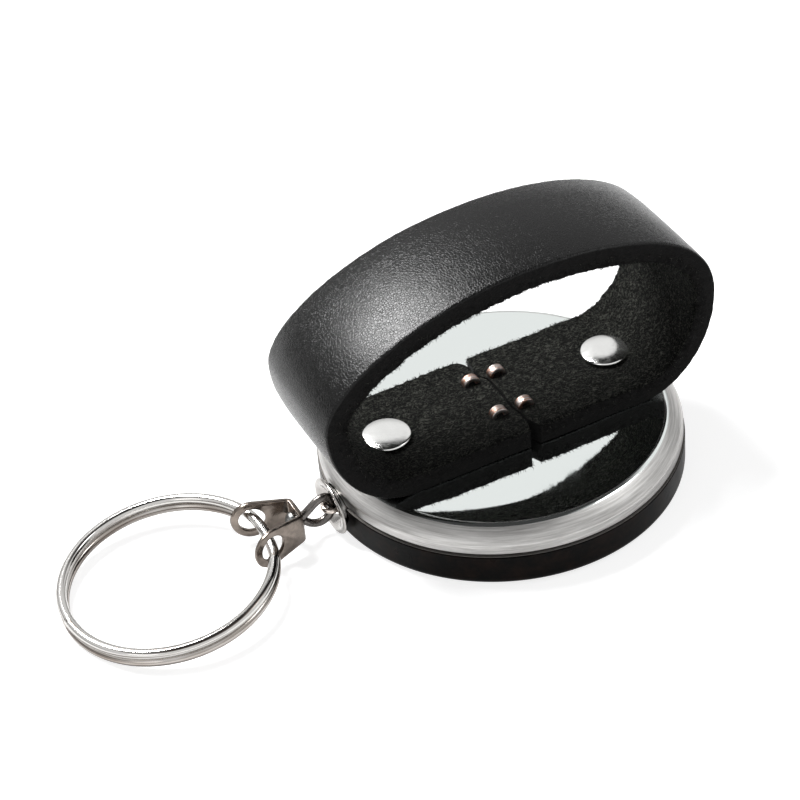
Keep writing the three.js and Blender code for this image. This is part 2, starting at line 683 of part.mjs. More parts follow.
// Outside of the belt loop from one end of the strap round to the other, as points in X and Z
function loopPath() {
  const equator = CASE_HEIGHT + LOOP_EQUATOR;
  const lowerReach = LOOP_HALF_WIDTH - LOOP_FLAT_HALF;
  const upperReach = LOOP_HEIGHT - LOOP_EQUATOR;
  const points = [[BUTT_GAP / 2, CASE_HEIGHT]];
  points.push(...arcPoints(LOOP_FLAT_HALF, equator, lowerReach, LOOP_EQUATOR, -90, 0, LOOP_LOWER_STEPS));
  const upper = arcPoints(0, equator, LOOP_HALF_WIDTH, upperReach, 0, 180, LOOP_UPPER_STEPS);
  for (const [x, z] of upper.slice(1)) {
    const rise = (z - equator) / upperReach;
    points.push([x + LOOP_LEAN * Math.sin((rise * Math.PI) / 2) ** 2, z]);
  }
  const left = arcPoints(-LOOP_FLAT_HALF, equator, lowerReach, LOOP_EQUATOR, 180, 270, LOOP_LOWER_STEPS);
  points.push(...left.slice(1), [-BUTT_GAP / 2, CASE_HEIGHT]);
  return points.map(([x, z]) => new THREE.Vector2(x, z));
}

// Belt loop: the strap, with its worn end corners, rivet holes, cap seats and staple slots
function beltLoop() {
  let loop = uprightStrip(stripShape(loopPath(), STRAP_THICKNESS, 0), STRAP_WIDTH);
  const seatRadius = RIVET_CAP_RADIUS + SEAT_GAP;
  const seatTop = STRAP_TOP + RIVET_CAP_HEIGHT + CUT_OVERRUN;
  for (const side of [-1, 1]) {
    loop = loop.subtract(endNotch(side));
    loop = loop.subtract(rivetHole(side));
    loop = loop.subtract(uprightCylinder(seatRadius, STRAP_TOP, seatTop, side * RIVET_X, 0));
    loop = loop.subtract(stapleSlots((side * STAPLE_SPACING) / 2));
  }
  return loop;
}

// V cut where the two ends meet at one edge of the strap
function endNotch(side) {
  const edge = (side * STRAP_WIDTH) / 2;
  const apex = edge - side * NOTCH_DEPTH;
  const slope = NOTCH_WIDTH / 2 / NOTCH_DEPTH;
  const beyond = edge + side * CUT_OVERRUN;
  const halfBeyond = slope * (NOTCH_DEPTH + CUT_OVERRUN);
  const shape = new THREE.Shape([
    new THREE.Vector2(0, apex),
    new THREE.Vector2(side * halfBeyond, beyond),
    new THREE.Vector2(-side * halfBeyond, beyond),
  ]);
  const depth = STRAP_THICKNESS + 2 * CUT_OVERRUN;
  const geometry = new THREE.ExtrudeGeometry(shape, { depth, bevelEnabled: false });
  geometry.translate(0, 0, CASE_HEIGHT - CUT_OVERRUN);
  return solidOf(geometry);
}

// Slots in the leather for a staple's legs, and a groove for its crown
function stapleSlots(y) {
  const width = STAPLE_WIRE_WIDTH + 2 * STAPLE_PLAY;
  const legSize = STAPLE_WIRE_THICKNESS + 2 * STAPLE_PLAY;
  const grooveTop = CASE_HEIGHT + STAPLE_WIRE_THICKNESS + 2 * STAPLE_PLAY;
  const grooveHeight = grooveTop - CASE_HEIGHT + CUT_OVERRUN;
  const grooveLength = STAPLE_CROWN + legSize;
  let slots = box(grooveLength, width, grooveHeight, 0, y, grooveTop - grooveHeight / 2);
  const legHeight = STRAP_THICKNESS + CUT_OVERRUN;
  for (const side of [-1, 1]) {
    const x = (side * STAPLE_CROWN) / 2;
    slots = slots.add(box(legSize, width, legHeight, x, y, CASE_HEIGHT + legHeight / 2));
  }
  return slots;
}

// Staple: crown, two legs and their curls, bent from one flat wire
function staple(y) {
  const half = STAPLE_CROWN / 2;
  const crownZ = CASE_HEIGHT + STAPLE_PLAY + STAPLE_WIRE_THICKNESS / 2;
  const legTop = STRAP_TOP + STAPLE_PLAY + STAPLE_WIRE_THICKNESS / 2;
  const curl = STAPLE_CURL / 2;
  const curled = arcPoints(half - curl, legTop, curl, STAPLE_CURL_RISE, 180, 0, STAPLE_CURL_STEPS);
  const tipToCrown = [...curled, [half, crownZ]];
  const left = tipToCrown.map(([x, z]) => new THREE.Vector2(-x, z));
  const right = tipToCrown.map(([x, z]) => new THREE.Vector2(x, z)).reverse();
  const wire = STAPLE_WIRE_THICKNESS / 2;
  const shape = stripShape([...left, ...right], wire, wire);
  return shifted(uprightStrip(shape, STAPLE_WIRE_WIDTH), 0, y, 0);
}

// Rivet cap: a low dome on the leather, and the pin under it
function rivetCap(side) {
  const rimTop = STRAP_TOP + RIVET_CAP_RIM;
  const pinEnd = SHELL_CEILING + RIVET_END_GAP;
  const profile = [
    [0, pinEnd],
    [RIVET_PIN_RADIUS, pinEnd],
    [RIVET_PIN_RADIUS, STRAP_TOP],
    [RIVET_CAP_RADIUS, STRAP_TOP],
    ...arcPoints(0, rimTop, RIVET_CAP_RADIUS, RIVET_CAP_HEIGHT - RIVET_CAP_RIM, 0, 90, ROUND_STEPS + 2),
  ];
  return shifted(turned(profile, SMALL_SIDES), side * RIVET_X, 0, 0);
}

// Rivet post: a foot under the shell and a tube up through shell and leather
function rivetPost(side) {
  const bore = RIVET_PIN_RADIUS + RIVET_PIN_GAP;
  const low = SHELL_CEILING - RIVET_FOOT_THICKNESS;
  const tubeEnd = STRAP_TOP - RIVET_END_GAP;
  const profile = [
    [0, low],
    [RIVET_FOOT_RADIUS, low],
    [RIVET_FOOT_RADIUS, SHELL_CEILING],
    [RIVET_TUBE_RADIUS, SHELL_CEILING],
    [RIVET_TUBE_RADIUS, tubeEnd],
    [bore, tubeEnd],
    [bore, SHELL_CEILING],
    [0, SHELL_CEILING],
  ];
  return shifted(turned(profile, SMALL_SIDES), side * RIVET_X, 0, 0);
}

function addPiece(parent, name, solid, finish) {
  const mesh = new THREE.Mesh(geometryOf(solid), new THREE.MeshStandardMaterial(finish));
  mesh.name = name;
  parent.add(mesh);
  return mesh;
}

const keyReel = new THREE.Group();
const { blackCover, polishedSteel, plainSteel, leather } = finishes;

// Case and what is fixed in it
addPiece(keyReel, 'front_cover', frontCover(), blackCover);
addPiece(keyReel, 'back_shell', backShell(), polishedSteel);
addPiece(keyReel, 'centre_post', centrePost(), plainSteel);
addPiece(keyReel, 'exit_nozzle', exitNozzle(), finishes.ringNickel);
const washerLow = COVER_DISC_TOP + RUNNING_GAP;
const washer = discRing(HUB_BORE_RADIUS, WASHER_RADIUS, washerLow, washerLow + WASHER_THICKNESS);
addPiece(keyReel, 'thrust_washer', washer, plainSteel);

// Spool, its spring and the chain wound on it
const coilLow = CHAIN_HEIGHT - LINK_WIDTH / 2;
const coil = discRing(DRUM_RADIUS + SEAT_GAP, COIL_RADIUS, coilLow, coilLow + LINK_WIDTH);
addPiece(keyReel, 'spool_drum', spoolDrum(), finishes.drumPlastic);
addPiece(keyReel, 'spool_cover', discRing(HUB_BORE_RADIUS, SPOOL_RADIUS, SPOOL_TOP, COVER_DISC_TOP), plainSteel);
addPiece(keyReel, 'power_spring', powerSpring(), finishes.springSteel);
addPiece(keyReel, 'chain_coil', coil, finishes.chainNickel);

// Last links of the chain, the swivel and the clevis
const bowX = EYE_X + EYE_RADIUS - EYE_WIRE - LINK_SLACK;
const endLinkX = bowX - LINK_WIRE + LINK_LENGTH / 2;
addPiece(keyReel, 'chain_link_inner', chainLink(endLinkX + LINK_PITCH, true), finishes.chainNickel);
addPiece(keyReel, 'chain_end_link', chainLink(endLinkX, false), finishes.chainNickel);
addPiece(keyReel, 'swivel_eye', swivelEye(), finishes.darkNickel);
addPiece(keyReel, 'swivel_clevis', swivelClevis(), finishes.clevisNickel);

// Split ring through the clevis, its far side let down to the floor
const ringReach = RING_BACK + RING_RADIUS;
const ringDrop = CHAIN_HEIGHT - RING_HEIGHT / 2;
const ringPivot = new THREE.Group();
ringPivot.position.set(HOLE_X, 0, CHAIN_HEIGHT);
ringPivot.rotation.y = -Math.asin(ringDrop / ringReach);
const ringMesh = addPiece(ringPivot, 'split_ring', splitRing(), finishes.ringNickel);
ringMesh.position.x = -RING_BACK;
keyReel.add(ringPivot);

// Belt loop and its fastenings
addPiece(keyReel, 'belt_loop', beltLoop(), leather);
for (const [side, word] of [[-1, 'left'], [1, 'right']]) {
  addPiece(keyReel, `rivet_cap_${word}`, rivetCap(side), finishes.rivetNickel);
  addPiece(keyReel, `rivet_post_${word}`, rivetPost(side), plainSteel);
}
for (const [side, word] of [[-1, 'near'], [1, 'far']]) {
  addPiece(keyReel, `staple_${word}`, staple((side * STAPLE_SPACING) / 2), finishes.stapleCopper);
}

console.log(`least gap between the split ring's turns: ${ringLeastGap().toFixed(2)} mm`);

export default keyReel;
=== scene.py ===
"""Retractable key reel with a leather belt loop: its finished pieces, built round the fixed frame."""

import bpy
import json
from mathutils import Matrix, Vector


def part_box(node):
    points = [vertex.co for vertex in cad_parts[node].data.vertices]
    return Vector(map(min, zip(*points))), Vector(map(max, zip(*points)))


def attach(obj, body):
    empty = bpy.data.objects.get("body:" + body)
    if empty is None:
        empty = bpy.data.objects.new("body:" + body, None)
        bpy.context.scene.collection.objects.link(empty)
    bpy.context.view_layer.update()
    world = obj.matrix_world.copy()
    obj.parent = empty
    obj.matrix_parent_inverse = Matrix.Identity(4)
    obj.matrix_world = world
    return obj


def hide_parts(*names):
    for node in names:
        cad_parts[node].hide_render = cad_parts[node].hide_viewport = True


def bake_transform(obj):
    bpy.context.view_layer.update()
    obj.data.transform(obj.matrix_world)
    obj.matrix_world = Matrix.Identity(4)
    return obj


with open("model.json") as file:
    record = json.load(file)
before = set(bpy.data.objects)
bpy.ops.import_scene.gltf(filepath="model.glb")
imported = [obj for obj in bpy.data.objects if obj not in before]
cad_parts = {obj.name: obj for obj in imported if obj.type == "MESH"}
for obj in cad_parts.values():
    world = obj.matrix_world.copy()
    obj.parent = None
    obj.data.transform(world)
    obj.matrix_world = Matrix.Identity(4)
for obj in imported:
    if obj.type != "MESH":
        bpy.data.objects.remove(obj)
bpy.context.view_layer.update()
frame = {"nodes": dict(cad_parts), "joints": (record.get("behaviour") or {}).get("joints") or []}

import json
import math
import random

import bpy
import numpy as np
from bpy.props import FloatProperty, FloatVectorProperty, PointerProperty
from mathutils import Matrix, Vector, noise

bl_info = {
    "name": "Retractable key reel",
    "version": (1, 0, 0),
    "blender": (4, 5, 0),
    "location": "View3D > Sidebar > Key Reel",
    "description": "Builds a retractable key reel with a riveted leather belt loop",
    "category": "Object",
}

MM = 0.001
WELD = 0.001 * MM


def hex_colour(text):
    """Linear colour of an sRGB hex value."""
    channels = [int(text[i : i + 2], 16) / 255 for i in (0, 2, 4)]
    return [c / 12.92 if c <= 0.04045 else ((c + 0.055) / 1.055) ** 2.4 for c in channels] + [1.0]


def length_prop(name, description, millimetres):
    default = millimetres * MM
    return FloatProperty(name=name, description=description, default=default, unit="LENGTH", precision=5)


def colour_prop(name, description, text):
    return FloatVectorProperty(
        name=name, description=description, default=hex_colour(text), size=4, min=0, max=1, subtype="COLOR"
    )


def angle_prop(name, description, degrees):
    return FloatProperty(name=name, description=description, default=math.radians(degrees), unit="ROTATION")


def share_prop(name, description, share):
    return FloatProperty(name=name, description=description, default=share)


def power_prop(name, description, watts):
    return FloatProperty(name=name, description=description, default=watts, unit="POWER")


def joint_place(name):
    """A joint's pivot, in metres."""
    return Vector(next(j["pos_m"] for j in frame["joints"] if j["name"] == name))


def joint_reach(name):
    """How far a slide's longer limit is from rest, in metres."""
    return max(next(j["range_m"] for j in frame["joints"] if j["name"] == name))


class KeyReelSizes(bpy.types.PropertyGroup):
    """Sizes that the frame doesn't give."""

    cover_edge: length_prop("Cover edge", "Rounding round the cover's outer face", 1.2)
    cover_lip: length_prop("Cover lip", "Rounding of the cover's rim at the parting line", 0.06)
    cover_wall: length_prop("Cover wall", "Thickness of the cover", 0.8)
    shell_wall: length_prop("Shell wall", "Thickness of the steel shell", 0.6)
    shell_lap: length_prop("Shell lap", "Step from the shell's side in to its skirt", 0.9)
    shell_edge: length_prop("Shell edge", "Rounding of the shell's lower edge", 0.12)
    shoulder_width: length_prop("Shoulder width", "The shell's rounded shoulder, across", 2.6)
    shoulder_drop: length_prop("Shoulder drop", "The shell's rounded shoulder, down", 2.2)
    face_dish: angle_prop("Face dish", "Steepest rise of the dished mirror face", 0.8)
    face_fall: angle_prop("Face fall", "Slope of the mirror face at its edge", 3.3)
    face_roll: length_prop("Face roll", "Bend radius where the mirror face turns down", 1.1)
    face_turn: angle_prop("Face turn", "How far the face turns down before the shoulder", 34)
    parting_gap: length_prop("Parting gap", "Dark line between cover and shell", 0.3)
    rim_groove: length_prop("Rim groove", "From the cover's rim down to its fine groove", 0.14)
    groove_depth: length_prop("Groove depth", "Depth of the fine groove", 0.16)
    nozzle_lip: length_prop("Nozzle lip", "Thickness of the nozzle's flared rim", 0.6)
    nozzle_mouth: length_prop("Nozzle mouth", "Half the height of the nozzle's mouth", 3.0)
    nozzle_throat: length_prop("Nozzle throat", "Half the height of the nozzle's throat", 1.75)
    nozzle_neck: length_prop("Nozzle neck", "Half the height of the nozzle's neck", 2.4)
    nozzle_fit: length_prop("Nozzle fit", "Clearance of the neck in the case's walls", 0.3)
    nozzle_curl: length_prop("Nozzle curl", "How far the neck is curled out inside the case", 0.6)
    mouth_depth: length_prop("Mouth depth", "How deep the nozzle's flare runs", 1.7)
    link_wire: length_prop("Link wire", "Diameter of the chain's wire", 0.8)
    link_width: length_prop("Link width", "Width of a chain link", 3.1)
    link_length: length_prop("Link length", "Length of a chain link", 4.6)
    link_pitch: length_prop("Link pitch", "From one chain link to the next", 2.7)
    eye_wire: length_prop("Eye wire", "Diameter of the swivel eye's wire", 1.2)
    head_radius: length_prop("Head radius", "Radius of the head that holds the clevis on the shank", 1.35)
    head_height: length_prop("Head height", "Rise of that head's dome", 1.0)
    clevis_strip: length_prop("Clevis strip", "Thickness of the clevis's strip", 0.7)
    clevis_half: length_prop("Clevis half", "From the middle to the middle of each arm, at the base", 2.05)
    clevis_bore: length_prop("Clevis bore", "Radius of the hole that the shank turns in", 1.0)
    clevis_round: length_prop("Clevis round", "Rounding of the strip's tumbled edges", 0.2)
    clevis_fold: length_prop("Clevis fold", "Bend radius at the clevis's two corners", 0.55)
    clevis_base: length_prop("Clevis base", "Height of the strip at the clevis's base", 4.4)
    clevis_hole: length_prop("Clevis hole", "Radius of the holes in the clevis's arms", 1.9)
    clevis_spread: angle_prop("Clevis spread", "How far each arm leans out", 14.5)
    ring_wire: length_prop("Ring wire width", "Width of the split ring's flattened wire", 1.5)
    ring_turn: length_prop("Ring turn", "Height of one turn of the split ring", 1.4)
    ring_square: share_prop("Ring square", "Fullness of the wire's shoulders: 0.55 is round", 0.565)
    ring_gap: length_prop("Ring gap", "Between the split ring's two turns", 0.03)
    ring_climb: share_prop("Ring climb", "Where the wire changes turns, in turns", 0.1)
    ring_end: share_prop("Ring end", "From a wire end to the climb, in turns", 0.02)
    strap_thickness: length_prop("Strap thickness", "Thickness of the leather", 3.4)
    strap_gap: length_prop("Strap gap", "From the middle of the butt joint to a squarely cut end", 0.25)
    strap_flat: length_prop("Strap flat", "Half of the stretch that lies flat on the shell", 17.8)
    loop_equator: length_prop("Loop equator", "Height above the shell at which the loop is widest", 15)
    loop_lean: length_prop("Loop lean", "How far the loop's top has sagged towards +X", 2.1)
    rivet_rim: length_prop("Rivet rim", "Rounding of the rivet caps' rims", 0.3)
    rivet_pin: length_prop("Rivet pin", "Radius of the rivets' pins", 0.9)
    rivet_bite: length_prop("Rivet bite", "How far the caps are pressed into the leather", 0.15)
    rivet_flat: length_prop("Rivet flat", "How far the setting tool has flattened the domes", 0.35)
    rivet_dome: length_prop("Rivet dome", "Rise of the rivet caps' domes", 0.3)
    staple_wire: length_prop("Staple wire", "Thickness of the staples' wire", 0.65)
    staple_round: length_prop("Staple round", "Rounding of the flattened wire's edges", 0.22)
    staple_crown: length_prop("Staple crown", "Between the middles of a staple's legs", 5.95)
    staple_curl: length_prop("Staple curl", "From a staple's leg to its tip", 1.85)


class KeyReelFinishes(bpy.types.PropertyGroup):
    """Colours of the finishes."""

    cover_black: colour_prop("Cover black", "Moulded black cover", "060606")
    cover_brown: colour_prop("Cover brown", "Browner patches of the cover", "1b120e")
    # The rim's colour is a painted highlight: a lighter grey where the rim catches the light
    cover_rim_painted_highlight: colour_prop("Cover rim", "Rubbed rim of the cover", "6f6c69")
    shell_steel: colour_prop("Shell steel", "Buffed face of the stainless shell", "edf2f0")
    satin_low: colour_prop("Satin dark", "Darker grit lines of the satin band", "9a9896")
    satin_high: colour_prop("Satin light", "Lighter grit lines of the satin band", "d3d2d0")
    plain_steel: colour_prop("Plain steel", "Steel of the hidden pieces", "b9bbbc")
    spring_blue: colour_prop("Spring blue", "Tempered spring strip", "5a6470")
    acetal: colour_prop("Acetal", "Natural moulded acetal of the drum", "dcd9cf")
    chain_nickel: colour_prop("Chain nickel", "Nickel plate on the chain", "d9cfc7")
    dark_nickel: colour_prop("Dark nickel", "Dark nickel plate on the eye", "6e6a67")
    # The shank head's colour is painted lighter than the eye's plate: a painted reflection of the bright room
    shank_head_painted_light: colour_prop("Shank head", "Upset head of the eye's shank, worn dull", "8f9191")
    clevis_nickel: colour_prop("Clevis nickel", "Warm nickel plate on the clevis", "8a8078")
    ring_nickel: colour_prop("Ring nickel", "Bright nickel plate on the split ring", "d0cecb")
    nozzle_nickel: colour_prop("Nozzle nickel", "Nickel plate on the nozzle, handled dull", "b6b3b0")
    # Painted shade: a brownish darkening of the ring's lower turn, standing in for what it reflects
    ring_painted_shade: colour_prop("Ring haze", "Brownish haze on the ring's lower turn", "9a9189")
    # Die lines, painted darker than real ones: a painted reflection of dark stripes
    ring_die_lines_and_reflections: colour_prop("Ring lines", "Die lines along the ring's wire", "5e5651")
    rivet_nickel: colour_prop("Rivet nickel", "Nickel plate on the rivet caps", "f0f0ee")
    staple_copper: colour_prop("Staple copper", "Copper wash on the staples' wire", "96705e")
    staple_steel: colour_prop("Staple steel", "Steel where the copper has rubbed off", "a8a19d")
    # The crease colour is painted shade: darker than the pebble tops, where shade falls between them
    grain_crease_shade: colour_prop("Grain creases", "Leather between the pebbles", "040404")
    grain_high: colour_prop("Grain pebbles", "Leather on top of the pebbles", "070707")
    flesh_low: colour_prop("Flesh shadow", "Leather's flesh side between the fibres", "050605")
    flesh_high: colour_prop("Flesh fibres", "Tips of the fibres on the flesh side", "454641")
    edge_low: colour_prop("Cut edge dark", "Cut edge of the leather, dark layers", "040404")
    edge_high: colour_prop("Cut edge light", "Cut edge of the leather, light fibres", "171514")


class KeyReelStage(bpy.types.PropertyGroup):
    """Camera and studio."""

    azimuth: angle_prop("Azimuth", "Camera's turn to the left of the front", 23.47)
    elevation: angle_prop("Elevation", "Camera's height above the horizon", 38.85)
    roll: angle_prop("Roll", "Camera's roll", -5.79)
    distance: length_prop("Distance", "From the camera to the point it looks at", 352.6)
    aim: FloatVectorProperty(
        name="Aim", description="Point the camera looks at", default=(-0.0121, 0.0065, 0.012), subtype="XYZ"
    )
    lens: FloatProperty(name="Lens", description="Focal length, in millimetres", default=112.5)
    ambient: share_prop("Ambient", "Strength of the world's light", 0.2)
    wall_light: share_prop("Walls", "Studio walls in reflections", 0.5)
    panel_light: share_prop("Panels", "White panels round the studio", 0.9)
    ceiling_light: share_prop("Ceiling", "Studio ceiling in reflections", 0.05)
    front_light: share_prop("Front", "Room in front of the key reel in reflections", 0.9)
    floor_shade: share_prop("Floor shade", "Grey of the floor's paper", 0.5)
    floor_lift: share_prop("Floor lift", "What makes the floor white", 0.8)
    floor_mirrored: share_prop("Floor mirrored", "The same, seen in metal or glass", 0.5)
    back_power: power_prop("Back light", "Softbox at the left back", 31)
    right_power: power_prop("Right light", "Softbox at the right", 1.6)
    fill_power: power_prop("Fill light", "Softbox at the left front", 1)
    floor_size: FloatProperty(name="Floor size", description="Side of the floor", default=6, unit="LENGTH")


def sizes():
    return bpy.context.scene.key_reel_sizes


def finishes():
    return bpy.context.scene.key_reel_finishes


# Modelling helpers


def deselect():
    if bpy.context.object and bpy.context.object.mode != "OBJECT":
        bpy.ops.object.mode_set(mode="OBJECT")
    bpy.ops.object.select_all(action="DESELECT")


def start_point(place):
    """A new mesh in edit mode with one vertex, from which an outline is drawn."""
    deselect()
    bpy.ops.mesh.primitive_plane_add(size=MM)
    bpy.ops.object.mode_set(mode="EDIT")
    bpy.ops.mesh.select_all(action="SELECT")
    bpy.ops.mesh.merge(type="CENTER")
    bpy.ops.transform.translate(value=place)
    return bpy.context.object


def draw_line(points):
    """A chain of edges through the points, extruded vertex by vertex."""
    piece = start_point(points[0])
    for before, after in zip(points, points[1:]):
        step = Vector(after) - Vector(before)
        bpy.ops.mesh.extrude_vertices_move(TRANSFORM_OT_translate={"value": step})
    return piece


def weld():
    bpy.ops.mesh.select_all(action="SELECT")
    bpy.ops.mesh.remove_doubles(threshold=WELD)
    bpy.ops.mesh.normals_make_consistent(inside=False)
    bpy.ops.object.mode_set(mode="OBJECT")


def turned(profile, sides):
    """A body spun about Z from [radius, height] points."""
    piece = draw_line([(radius, 0, height) for radius, height in profile])
    bpy.ops.mesh.select_all(action="SELECT")
    bpy.ops.mesh.spin(steps=sides, angle=math.tau, center=(0, 0, 0), axis=(0, 0, 1))
    weld()
    return piece


def turned_along_x(profile, sides, height):
    """A body spun about a line along X at that height, from [x, radius] points."""
    piece = draw_line([(x, 0, height + radius) for x, radius in profile])
    bpy.ops.mesh.select_all(action="SELECT")
    bpy.ops.mesh.spin(steps=sides, angle=math.tau, center=(0, 0, height), axis=(1, 0, 0))
    weld()
    return piece


def strip_along(points, across, thickness):
    """A ribbon drawn through the points, pulled out by the vector across and given its thickness."""
    piece = draw_line(points)
    bpy.ops.mesh.select_all(action="SELECT")
    bpy.ops.transform.translate(value=-Vector(across) / 2)
    bpy.ops.mesh.extrude_edges_move(TRANSFORM_OT_translate={"value": across})
    weld()
    modifier = piece.modifiers.new("thickness", "SOLIDIFY")
    modifier.thickness = thickness
    modifier.offset = 0
    modifier.use_even_offset = True
    apply_modifiers(piece)
    return piece


def select_only(piece):
    deselect()
    bpy.context.view_layer.objects.active = piece
    piece.select_set(True)


def apply_modifiers(piece):
    select_only(piece)
    for modifier in list(piece.modifiers):
        bpy.ops.object.modifier_apply(modifier=modifier.name)


def cut(piece, cutter, operation="DIFFERENCE"):
    """Cuts the piece with a cutter, which is then deleted."""
    modifier = piece.modifiers.new("cut", "BOOLEAN")
    modifier.operation = operation
    modifier.solver = "EXACT"
    modifier.object = cutter
    apply_modifiers(piece)
    bpy.data.objects.remove(cutter)


def soften(piece, width, segments=3, angle=40):
    """Rounds the piece's sharp edges."""
    modifier = piece.modifiers.new("soften", "BEVEL")
    modifier.width = width
    modifier.segments = segments
    modifier.limit_method = "ANGLE"
    modifier.angle_limit = math.radians(angle)
    apply_modifiers(piece)


def smooth(piece, angle=35):
    select_only(piece)
    bpy.ops.object.shade_smooth_by_angle(angle=math.radians(angle))


def join(pieces):
    deselect()
    for piece in pieces:
        piece.select_set(True)
    bpy.context.view_layer.objects.active = pieces[0]
    bpy.ops.object.join()
    return pieces[0]


def cylinder(radius, start, end, sides):
    """A cylinder from one point to another, its place in its mesh."""
    deselect()
    middle, along = (Vector(start) + Vector(end)) / 2, Vector(end) - Vector(start)
    turn = along.to_track_quat("Z", "Y").to_euler()
    bpy.ops.mesh.primitive_cylinder_add(
        vertices=sides, radius=radius, depth=along.length, location=middle, rotation=turn
    )
    bpy.ops.object.transform_apply(location=True, rotation=True, scale=True)
    return bpy.context.object


def settle(piece, name, body, materials, nodes=()):
    """Names a finished piece, gives it its material and says what carries it."""
    piece.name = piece.data.name = name
    piece.data.materials.clear()
    for material in materials:
        piece.data.materials.append(material)
    if body:
        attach(piece, body)
    if nodes:
        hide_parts(*nodes)


def arc(centre_r, centre_z, reach_r, reach_z, start, end, steps):
    """Points of an ellipse's arc, from one angle in degrees to another."""
    angles = [math.radians(start + (end - start) * i / steps) for i in range(steps + 1)]
    return [(centre_r + reach_r * math.cos(a), centre_z + reach_z * math.sin(a)) for a in angles]


def vertex_array(piece):
    places = np.empty(len(piece.data.vertices) * 3)
    piece.data.vertices.foreach_get("co", places)
    return places.reshape(-1, 3)


def set_vertices(piece, places):
    piece.data.vertices.foreach_set("co", places.astype(np.float32).ravel())
    piece.data.update()


def keep_places(piece, name, places):
    """Keeps a place for each vertex as an attribute, for the materials."""
    attribute = piece.data.attributes.new(name, "FLOAT_VECTOR", "POINT")
    attribute.data.foreach_set("vector", places.astype(np.float32).ravel())


def ramp(values, start, end):
    """From 0 at start to 1 at end, in a straight line."""
    return np.clip((values - start) / (end - start), 0, 1)


def hollow(away, reach):
    """A soft hollow's share of its depth, at that distance from its middle."""
    return np.exp(-((away / reach) ** 2))


def ripple(along, across, depth, wavelength, height, seed):
    """Smooth unevenness at places on the strap, with its wavelength and height in millimetres."""
    shift = Vector((seed * 17.3, seed * 5.1, seed * 9.7))
    places = np.column_stack([along, across, depth]) / (wavelength * MM)
    return np.array([noise.noise(Vector(place) + shift) for place in places]) * height * MM


# Materials


def node(tree, kind, inputs=None, output=0, **settings):
    """Adds a node with its settings, links or types its inputs, and gives one of its outputs."""
    made = tree.nodes.new("ShaderNode" + kind)
    for key, value in settings.items():
        setattr(made, key, value)
    for key, value in (inputs or {}).items():
        if isinstance(value, bpy.types.NodeSocket):
            tree.links.new(value, made.inputs[key])
        else:
            made.inputs[key].default_value = value
    return made.outputs[output] if len(made.outputs) else made


def new_material(name):
    material = bpy.data.materials.new(name)
    material.use_nodes = True
    material.node_tree.nodes.clear()
    return material, material.node_tree


def millimetres(tree, attribute=None):
    """Coordinates in millimetres: the object's own, or those that an attribute holds."""
    if attribute:
        source = node(tree, "Attribute", output="Vector", attribute_name=attribute)
    else:
        source = node(tree, "TexCoord", output="Object")
    return node(tree, "VectorMath", {"Vector": source, "Scale": 1 / MM}, operation="SCALE")


def moulded_black():
    """Black ABS, moulded in a polished tool: near black in browner patches, a soft sheen, orange peel."""
    material, tree = new_material("moulded black ABS")
    where = millimetres(tree)
    # Widths, in millimetres
    cloud_width, patch_width, scuff_width, peel_width = 4, 2.86, 1.11, 0.83
    cloud = node(tree, "TexNoise", {"Vector": where, "Scale": 1 / cloud_width, "Detail": 2})
    peel = node(tree, "TexNoise", {"Vector": where, "Scale": 1 / peel_width, "Detail": 2})
    scuffs = {"Vector": where, "Scale": 1 / scuff_width, "Detail": 6, "Roughness": 0.7}
    scuffs = node(tree, "TexNoise", scuffs)
    rough = node(tree, "MapRange", {"Value": cloud, 1: 0.3, 2: 0.7, 3: 0.26, 4: 0.36})
    worn = node(tree, "MapRange", {"Value": scuffs, 1: 0.55, 2: 0.75, 3: 0, 4: 0.07})
    rough = node(tree, "Math", {0: rough, 1: worn}, operation="ADD")
    normal = node(tree, "Bump", {"Height": peel, "Distance": 0.02 * MM, "Strength": 0.5})
    patch = {"Vector": where, "Scale": 1 / patch_width, "Detail": 4, "Roughness": 0.6}
    patch = node(tree, "TexNoise", patch)
    share = node(tree, "MapRange", {"Value": patch, 1: 0.42, 2: 0.64, 3: 0, 4: 1})
    tones = {0: share, 6: list(finishes().cover_black), 7: list(finishes().cover_brown)}
    colour = node(tree, "Mix", tones, 2, data_type="RGBA")
    # The rim above the groove is painted a lighter grey: a painted highlight along the rim
    rim = (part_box("front_cover")[1].z - sizes().rim_groove) / MM
    height = node(tree, "SeparateXYZ", {0: where}, "Z")
    above = node(tree, "MapRange", {"Value": height, 1: rim + 0.02, 2: rim + 0.08, 3: 0, 4: 1})
    tones = {0: above, 6: colour, 7: list(finishes().cover_rim_painted_highlight)}
    colour = node(tree, "Mix", tones, 2, data_type="RGBA")
    inputs = {
        "Base Color": colour,
        "Roughness": rough,
        "IOR": 1.5,
        "Specular IOR Level": 0.06,
        "Normal": normal,
    }
    shader = node(tree, "BsdfPrincipled", inputs)
    node(tree, "OutputMaterial", {"Surface": shader})
    return material


